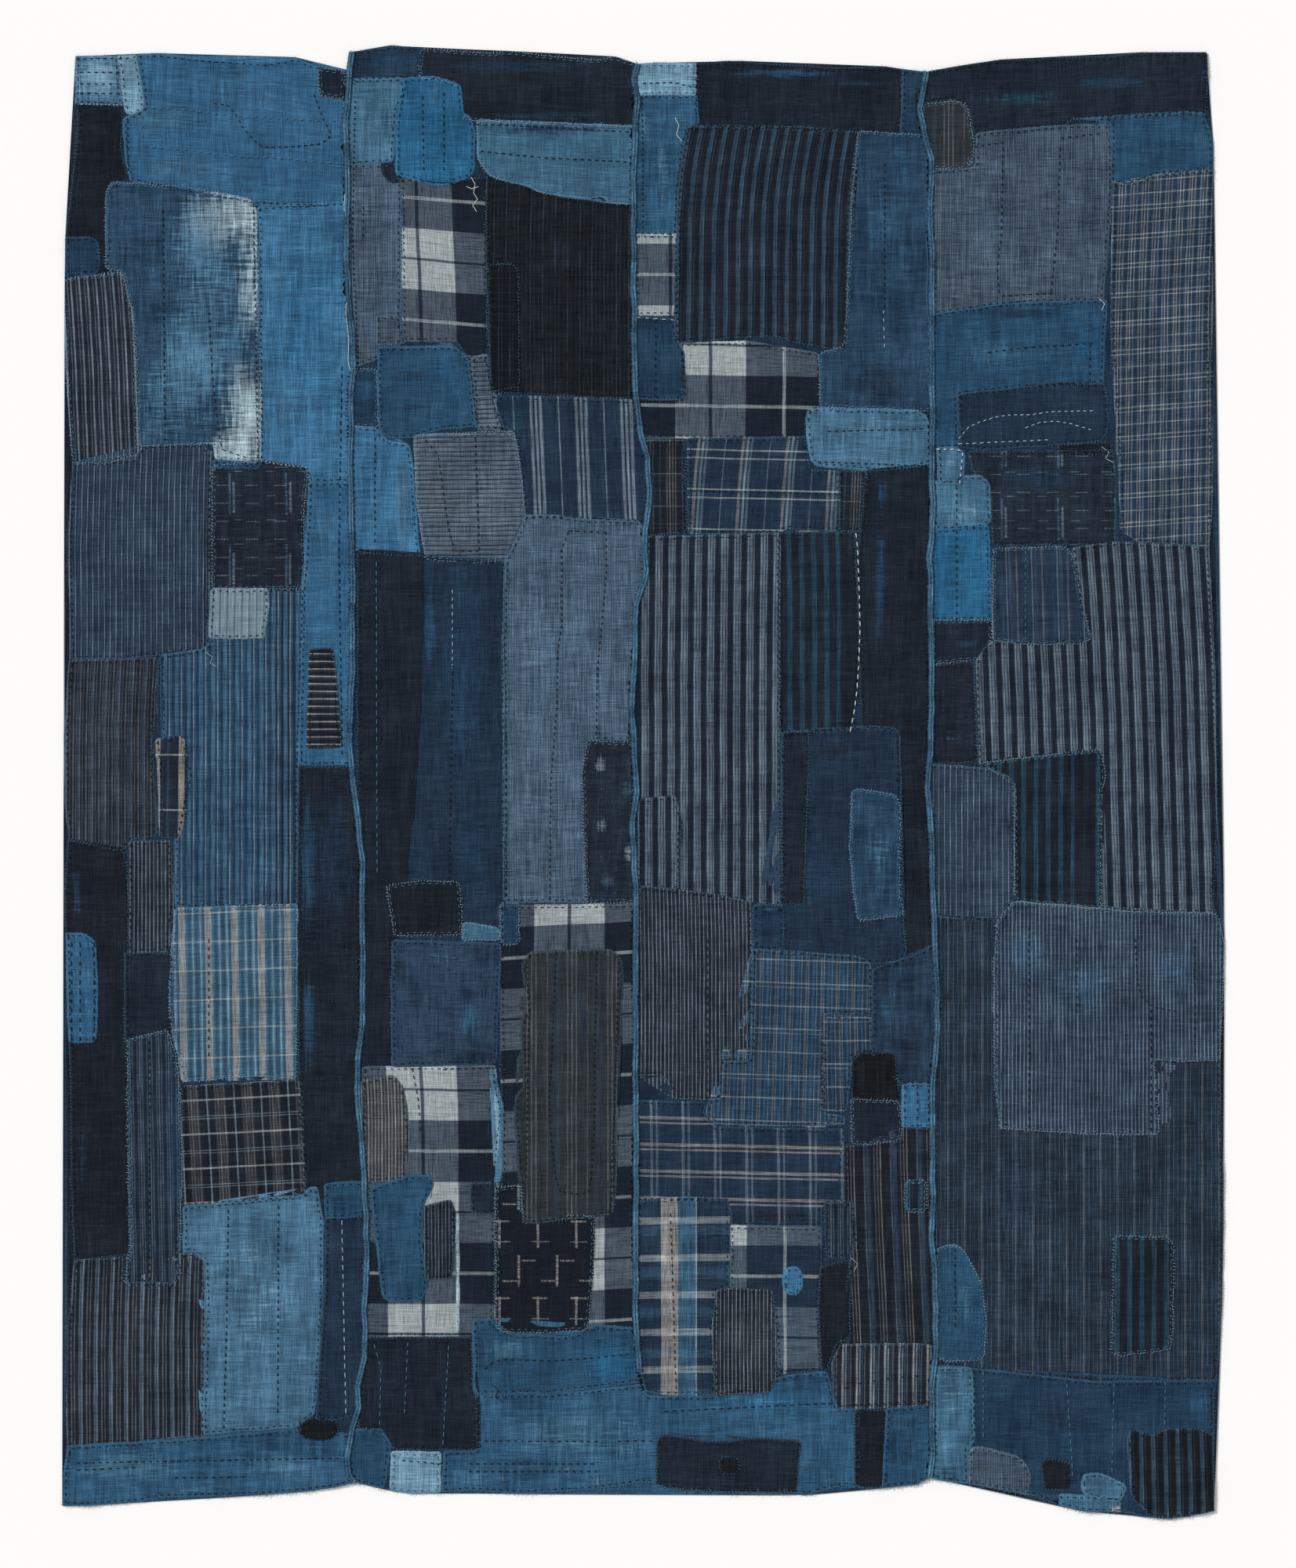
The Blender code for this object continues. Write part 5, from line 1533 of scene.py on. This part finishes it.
def strands_tree():
    """Lays copies of a strand along the lines of a mesh: evenly spaced, unevenly long and turned."""
    tree = bpy.data.node_groups.new("strands_along_lines", "GeometryNodeTree")
    sockets = (
        ("Lines", "Geometry"), ("Strand", "Object"), ("Pitch", "Float"), ("Shortest", "Float"),
        ("Longest", "Float"), ("Thickness", "Float"), ("Turn", "Float"), ("Seed", "Int"),
        ("Thread", "Material"))
    for name, kind in sockets:
        tree.interface.new_socket(name, in_out="INPUT", socket_type=f"NodeSocket{kind}")
    tree.interface.new_socket("Strands", in_out="OUTPUT", socket_type="NodeSocketGeometry")
    given = add(tree, "NodeGroupInput").outputs
    curve = add(tree, "GeometryNodeMeshToCurve", {0: given["Lines"]})
    places = add(tree, "GeometryNodeCurveToPoints", {
        "Curve": curve.outputs[0], "Length": given["Pitch"]}, mode="LENGTH")
    faced = add(tree, "FunctionNodeAlignRotationToVector", {"Vector": places.outputs["Tangent"]},
                axis="X", pivot_axis="Z")
    back = times(tree, given["Turn"], -1.0)
    turn = add(tree, "FunctionNodeRandomValue", {
        2: back, 3: given["Turn"], "Seed": given["Seed"]}, data_type="FLOAT")
    turned = add(tree, "ShaderNodeCombineXYZ", {"Z": turn.outputs[1]})
    turned = add(tree, "FunctionNodeEulerToRotation", {0: turned.outputs[0]})
    faced = add(tree, "FunctionNodeRotateRotation", {
        "Rotation": faced.outputs[0], "Rotate By": turned.outputs[0]}, rotation_space="LOCAL")
    length = add(tree, "FunctionNodeRandomValue", {
        2: given["Shortest"], 3: given["Longest"], "Seed": given["Seed"]}, data_type="FLOAT")
    size = add(tree, "ShaderNodeCombineXYZ", {
        "X": length.outputs[1], "Y": given["Thickness"], "Z": given["Thickness"]})
    strand = add(tree, "GeometryNodeObjectInfo", {"Object": given["Strand"]})
    laid = add(tree, "GeometryNodeInstanceOnPoints", {
        "Points": places.outputs["Points"], "Instance": strand.outputs["Geometry"],
        "Rotation": faced.outputs[0], "Scale": size.outputs[0]})
    real = add(tree, "GeometryNodeRealizeInstances", {0: laid.outputs[0]})
    coloured = add(tree, "GeometryNodeSetMaterial", {
        "Geometry": real.outputs[0], "Material": given["Thread"]})
    add(tree, "NodeGroupOutput", {0: coloured.outputs[0]})
    return tree


def linked(name, mesh):
    """The mesh as an object in the scene."""
    piece = bpy.data.objects.new(name, mesh)
    bpy.context.scene.collection.objects.link(piece)
    return piece


def strands_along(panel, name, lines, shape, strands, seed, colour):
    """A panel's piece of strands along lines, each line an array of points in metres."""
    points, edges = [], []
    for line in lines:
        edges += [(len(points) + k, len(points) + k + 1) for k in range(len(line) - 1)]
        points += [tuple(point) for point in line]
    mesh = bpy.data.meshes.new(f"{PANELS[panel]}_{name}")
    mesh.from_pydata(points, edges, [])
    piece = linked(mesh.name, mesh)
    modifier = piece.modifiers.new("strands", "NODES")
    modifier.node_group = STRANDS
    inputs = {
        "Strand": shape, "Pitch": strands.pitch * MM, "Shortest": strands.shortest * MM,
        "Longest": strands.longest * MM, "Thickness": strands.thickness, "Turn": strands.turn,
        "Seed": seed, "Thread": threads[colour]}
    for socket in STRANDS.interface.items_tree:
        if socket.in_out == "INPUT" and socket.name in inputs:
            modifier[socket.identifier] = inputs[socket.name]
    bpy.context.view_layer.update()
    made = piece.evaluated_get(bpy.context.evaluated_depsgraph_get())
    finished = bpy.data.meshes.new_from_object(made)
    piece.modifiers.clear()
    piece.data = finished
    return piece


def gathered_piece(name, pieces):
    """One piece out of several, each with its own thread."""
    first = pieces[0]
    with bpy.context.temp_override(active_object=first, object=first, selected_objects=pieces,
                                   selected_editable_objects=pieces):
        bpy.ops.object.join()
    first.name = first.data.name = name
    return first


def on_top(points, over=0.0):
    """Layout points on the finished cloth's surface, or over it, in metres."""
    places = np.asarray(points, float).T
    return np.stack([*scene_xy(*places), (sample(surface, *places) + over) * MM], 1)


def shown_lines(points, shown):
    """The runs of points that are shown, four points or longer."""
    runs, run = [], []
    for point, seen in zip(points, shown):
        if seen:
            run.append(point)
        elif run:
            runs.append(run)
            run = []
    runs.append(run)
    return [np.array(r) for r in runs if len(r) >= 4]


def edge_lines(laid, covered, inset):
    """The lines an inset inside a patch's edge, where no later patch covers them."""
    points = laid.outline - outward(laid.outline) * inset
    points = points[inside(points, laid.outline) & (nearest(points, laid.outline)[1] > 0.75 * inset)]
    shown = sample(covered.astype(float), *(points - laid.corner).T) < 0.2
    return shown_lines(points, shown)


def ribbon(name, path, profile, rng, jitter, cloth):
    """A seam's raw edges standing along a path, its section swept with a hand-sewn unevenness."""
    path = spaced(path, LINE_PITCH, closed=False)
    along = np.gradient(path, axis=0)
    along /= np.hypot(*along.T)[:, None]
    aside = np.stack([-along[:, 1], along[:, 0]], 1)
    turns = np.arange(0, len(path) + 8, 8)
    wave = np.interp(np.arange(len(path)), turns, rng.normal(0, jitter, len(turns)))
    rows = []
    for offset, rise, _ in profile:
        raw = 1 if rise > 0 else 0.4
        side = offset + wave + raw * rng.normal(0, 0.35 * jitter, len(path))
        points = path + aside * side[:, None]
        over = rise * (1 + 0.18 * rng.standard_normal(len(path)) * raw) if rise > 0 else -0.35
        rows.append(on_top(points, over))
    points = np.stack(rows, 1)
    count, wide = points.shape[:2]
    start = (np.arange(count - 1)[:, None] * wide + np.arange(wide - 1)).ravel()
    quads = np.stack([start, start + wide, start + wide + 1, start + 1], 1)
    faces = np.vstack([quads[:, [0, 1, 2]], quads[:, [0, 2, 3]]])
    # The profile's colours, including its painted shade in the groove and at the feet, varied at random along
    # the seam.
    cloth_and_painted_shade_tints = np.tile([dye(colour) for _, _, colour in profile], (count, 1))
    cloth_and_painted_shade_tints[:, :3] *= np.repeat(rng.uniform(0.6, 1.4, count // 5 + 1), 5 * wide)[: count * wide, None]
    across, along = np.arange(wide) * 1.2, np.arange(count) * LINE_PITCH
    grain = np.stack([np.tile(across, count), np.repeat(along, wide)], 1)
    piece = Piece()
    piece.add(points.reshape(-1, 3), faces, grain, cloth_and_painted_shade_tints, np.zeros((count * wide, 4)),
              np.full(count * wide, 0.5), cloth)
    return piece.made(name, materials)


def tube_into(gathered, points, radius):
    """Adds a thread along points in metres to the gathered (points, faces)."""
    along = np.gradient(points, axis=0)
    along /= np.linalg.norm(along, axis=1)[:, None]
    aside = np.cross(along, (0, 0, 1))
    aside /= np.linalg.norm(aside, axis=1)[:, None]
    up = np.cross(aside, along)
    rings = [points + radius * (math.cos(a) * aside + math.sin(a) * up)
             for a in np.arange(LOOSE_SIDES) * 2 * math.pi / LOOSE_SIDES]
    first = sum(len(places) for places, _ in gathered)
    places = np.stack(rings, 1).reshape(-1, 3)
    gathered.append((places, tube_faces(len(points), LOOSE_SIDES, first)))


def loose_threads(panel, colour):
    """A panel's loose thread ends of one colour, or None where it has none."""
    gathered = []
    for end in LOOSE_ENDS:
        if (end.panel, end.thread) == (panel, colour):
            places = np.array(end.points, float)
            fine = np.linspace(0, len(places) - 1, 6 * len(places))
            smooth = [np.interp(fine, range(len(places)), places[:, k]) for k in (0, 1)]
            tube_into(gathered, on_top(np.stack(smooth, 1), LOOSE_OVER), LOOSE_RADIUS * MM)
    if not gathered:
        return None
    mesh = bpy.data.meshes.new(f"{PANELS[panel]}_{colour}_loose_ends")
    mesh.from_pydata([tuple(p) for points, _ in gathered for p in points], [],
                     [f for _, faces in gathered for f in faces])
    mesh.materials.append(threads[colour])
    return linked(mesh.name, mesh)


# The base panels

def base_panel(number):
    """A closed thin sheet with the panel's outline, on the solids' folds."""
    outline = spaced(panels[number], BASE_EDGE_PITCH)
    outline = outline - outward(outline) * BASE_INSET
    points, faces = triangles_in(outline, inner_points(outline, BASE_PITCH, BASE_EDGE_PITCH))
    low = sample(lift, *points.T)
    edge = nearest(points, outline)[1] < ON_EDGE
    top = low + np.where(edge, 0.55 * BASE_THICKNESS, BASE_THICKNESS)
    x, y = scene_xy(*points.T)
    under = np.stack([x, y, low * MM], 1)
    over = np.stack([x, y, top * MM], 1)
    count = len(points)
    borders = dict.fromkeys((a, b) for face in faces for a, b in zip(face, np.roll(face, -1)))
    sides = []
    for a, b in borders:
        if (b, a) not in borders:
            sides += [(b, a, a + count), (b, a + count, b + count)]
    faces = np.vstack([faces, faces[:, ::-1] + count, np.array(sides)])
    piece = Piece()
    # The top is the ground cloth's dark ink, which where it shows between patches also serves as painted
    # shade in the gaps; the underside is lighter indigo.
    ground_and_gap_shade_colours = np.tile(dye("ink"), (2 * count, 1))
    ground_and_gap_shade_colours[count:] = dye("indigo")
    piece.add(np.vstack([over, under]), faces, np.vstack([points, points]), ground_and_gap_shade_colours,
              np.zeros((2 * count, 4)), np.zeros(2 * count), PLAIN)
    return piece.made(f"{PANELS[number]}_panel_cloth", materials)


# Laying the patches

panels = [cloth_outline(number, number) for number in range(4)] + [cloth_outline(1, 2)]
materials = {name: cotton(name, cloth) for name, cloth in CLOTHS.items()}
threads = {key: thread_material(name, shade) for key, (name, shade) in THREADS.items()}
lift = unevenness()

rng = np.random.default_rng(23)
stack = np.full((MAP_ROWS, MAP_COLUMNS), BASE_THICKNESS)
all_laid = [lay(patch, stack, panels, rng) for patch in PATCHES]
surface = stack + lift

# Only what shows of a patch is made, so they are cut from the top one down.
groups, stitch_lines, fray_lines = {}, {}, {}
cover = np.zeros((MAP_ROWS, MAP_COLUMNS), bool)
for laid in reversed(all_laid):
    hidden = hidden_cells(laid, cover)
    panel = 1 if laid.patch.panel == BOTH else laid.patch.panel
    group = groups.setdefault((panel, CLOTHS[laid.patch.cloth].kind), Piece())
    group.add(*patch_mesh(laid, lift, hidden, panels[laid.patch.panel]))
    if laid.patch.hem:
        colour = "dark" if rng.random() < DARK_HEMS else "blue"
        stitch_lines.setdefault((panel, colour), []).extend(edge_lines(laid, hidden, HEM_STITCH_INSET))
        fray_lines.setdefault((panel, colour), []).extend(edge_lines(laid, hidden, HEM_FRAY_INSET))
    core = softened((laid.mask | laid.beyond).astype(float), 2) > 0.93
    hidden |= core & (softened(laid.beyond.astype(float), 1) < 0.95)

sewn, stitched, frayed = ({panel: [] for panel in range(4)} for _ in range(3))
for (panel, kind), group in sorted(groups.items()):
    sewn[panel].append(group.made(f"{PANELS[panel]}_{kind}_patches", materials))
bases = [base_panel(number) for number in range(4)]


# Sewing them down

STRANDS = strands_tree()
stitch = strand_shape("stitch", STITCH_STATIONS, 4)
hair = strand_shape("fray", FRAY_STATIONS, 3, FRAY_BEND)
for (panel, colour), lines in sorted(stitch_lines.items()):
    stitched[panel].append(strands_along(
        panel, f"{colour}_edge_stitches", [on_top(line, HEM_OVER) for line in lines],
        stitch, HEM_STITCHES, panel, colour))
for (panel, colour), lines in sorted(fray_lines.items()):
    frayed[panel].append(strands_along(
        panel, f"{colour}_edge_frays", [on_top(line, FRAY_OVER) for line in lines],
        hair, HEM_FRAYS, 40 + panel, "faded" if colour == "dark" else "pale"))
for panel in range(4):
    for colour in THREADS:
        rows = [row for row in ROWS if (row.panel, row.thread) == (panel, colour)]
        for pitch in sorted({row.pitch for row in rows}):
            lines = [on_top(spaced(row.points, LINE_PITCH, False), ROW_OVER)
                     for row in rows if row.pitch == pitch]
            strands = Strands(
                pitch, ROW_SHORTEST * pitch, ROW_LONGEST * pitch, ROW_THICKNESS, ROW_TURN)
            stitched[panel].append(strands_along(
                panel, f"{colour}_rows_{pitch}", lines, stitch, strands, pitch, colour))

# Across a seam: how far aside, how high over the patches, and the colour there. The black in the low middle
# between the two raised edges and the ink at the ridge's feet are painted shade; the paler colours on the
# raised edges are the cloth's own.
SEAM_PROFILE = (
    (-4.4, 0, "ink"), (-3.5, 1.3, "indigo"), (-1.9, 2.5, "wash"), (-0.3, 0.2, "black"),
    (1.3, 2.1, "mid"), (3.0, 1.3, "deep"), (4.2, 0, "ink"))
for panel, (seam, bottom) in enumerate(((SEAM_1, 1893), (SEAM_2, 1779), (SEAM_3, 1886))):
    path = [p for p in seam if p[1] <= bottom]
    sewn[panel].append(
        ribbon(f"{PANELS[panel]}_seam_selvedges", path, SEAM_PROFILE, rng, SEAM_JITTER, WASHED))
    middle = spaced(path, LINE_PITCH, False) - (0.4, 0)
    stitched[panel].append(strands_along(
        panel, "seam_stitches", [on_top(middle, SEAM_OVER)], stitch, SEAM_STITCHES, 7, "blue"))

for panel in range(4):
    for colour in THREADS:
        piece = loose_threads(panel, colour)
        if piece:
            frayed[panel].append(piece)

# Frays along the cut bottom edge and down the worn seams
for panel in range(4):
    bottom = spaced(BOTTOMS[panel], LINE_PITCH, False) - (0, EDGE_FRAY_INSET)
    lines = [on_top(bottom, FRAY_OVER)]
    if panel < 3:
        seam = [p for p in LONG_EDGES[panel + 1] if p[1] < WORN_SEAM_END]
        lines.append(on_top(spaced(seam, LINE_PITCH, False), WORN_SEAM_OVER))
    frayed[panel].append(strands_along(panel, "frays", lines, hair, EDGE_FRAYS, 31 + panel, "faded"))
for panel in range(4):
    sewn[panel].append(gathered_piece(f"{PANELS[panel]}_stitches", stitched[panel]))
    sewn[panel].append(gathered_piece(f"{PANELS[panel]}_frays", frayed[panel]))
for shape in (stitch, hair):
    bpy.data.objects.remove(shape)


# Declaring the pieces


for number, base in enumerate(bases):
    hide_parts(f"panel_{PANELS[number]}")
    for piece in (base, *sewn[number]):
        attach(piece, "root")


# Floor, light and camera

FLOOR_REACH = 6
SKY_STRENGTH, KEY_STRENGTH, KEY_ANGLE = 0.5, 2.7, 12
KEY_DIRECTION = (0.62, -0.45, -0.62)
LENS, CAMERA_PLACE = 100, (0.0065, -0.0025, 5.56)


def paper():
    """Matt off-white studio paper."""
    material = bpy.data.materials.new("studio_paper")
    material.use_nodes = True
    shader = material.node_tree.nodes["Principled BSDF"]
    shader.inputs["Base Color"].default_value = linear("#f9f8f7")
    shader.inputs["Roughness"].default_value = 0.95
    shader.inputs["Specular IOR Level"].default_value = 0.2
    return material


mesh = bpy.data.meshes.new("studio_floor")
corners = [(x * FLOOR_REACH, y * FLOOR_REACH, 0) for x, y in ((-1, -1), (1, -1), (1, 1), (-1, 1))]
mesh.from_pydata(corners, [], [(0, 1, 2, 3)])
mesh.materials.append(paper())
linked("studio_floor", mesh)

world = bpy.data.worlds.new("soft_studio_light")
bpy.context.scene.world = world
world.use_nodes = True
world.node_tree.nodes["Background"].inputs["Color"].default_value = (1, 1, 1, 1)
world.node_tree.nodes["Background"].inputs["Strength"].default_value = SKY_STRENGTH

key = bpy.data.lights.new("studio_key", "SUN")
key.energy = KEY_STRENGTH
key.angle = math.radians(KEY_ANGLE)
lamp = linked("studio_key", key)
lamp.rotation_euler = Vector(KEY_DIRECTION).to_track_quat("-Z", "Y").to_euler()

lens = bpy.data.cameras.new("camera")
lens.lens = LENS
camera = linked("camera", lens)
camera.location = CAMERA_PLACE
bpy.context.scene.camera = camera
bpy.context.scene.view_settings.view_transform = "Standard"
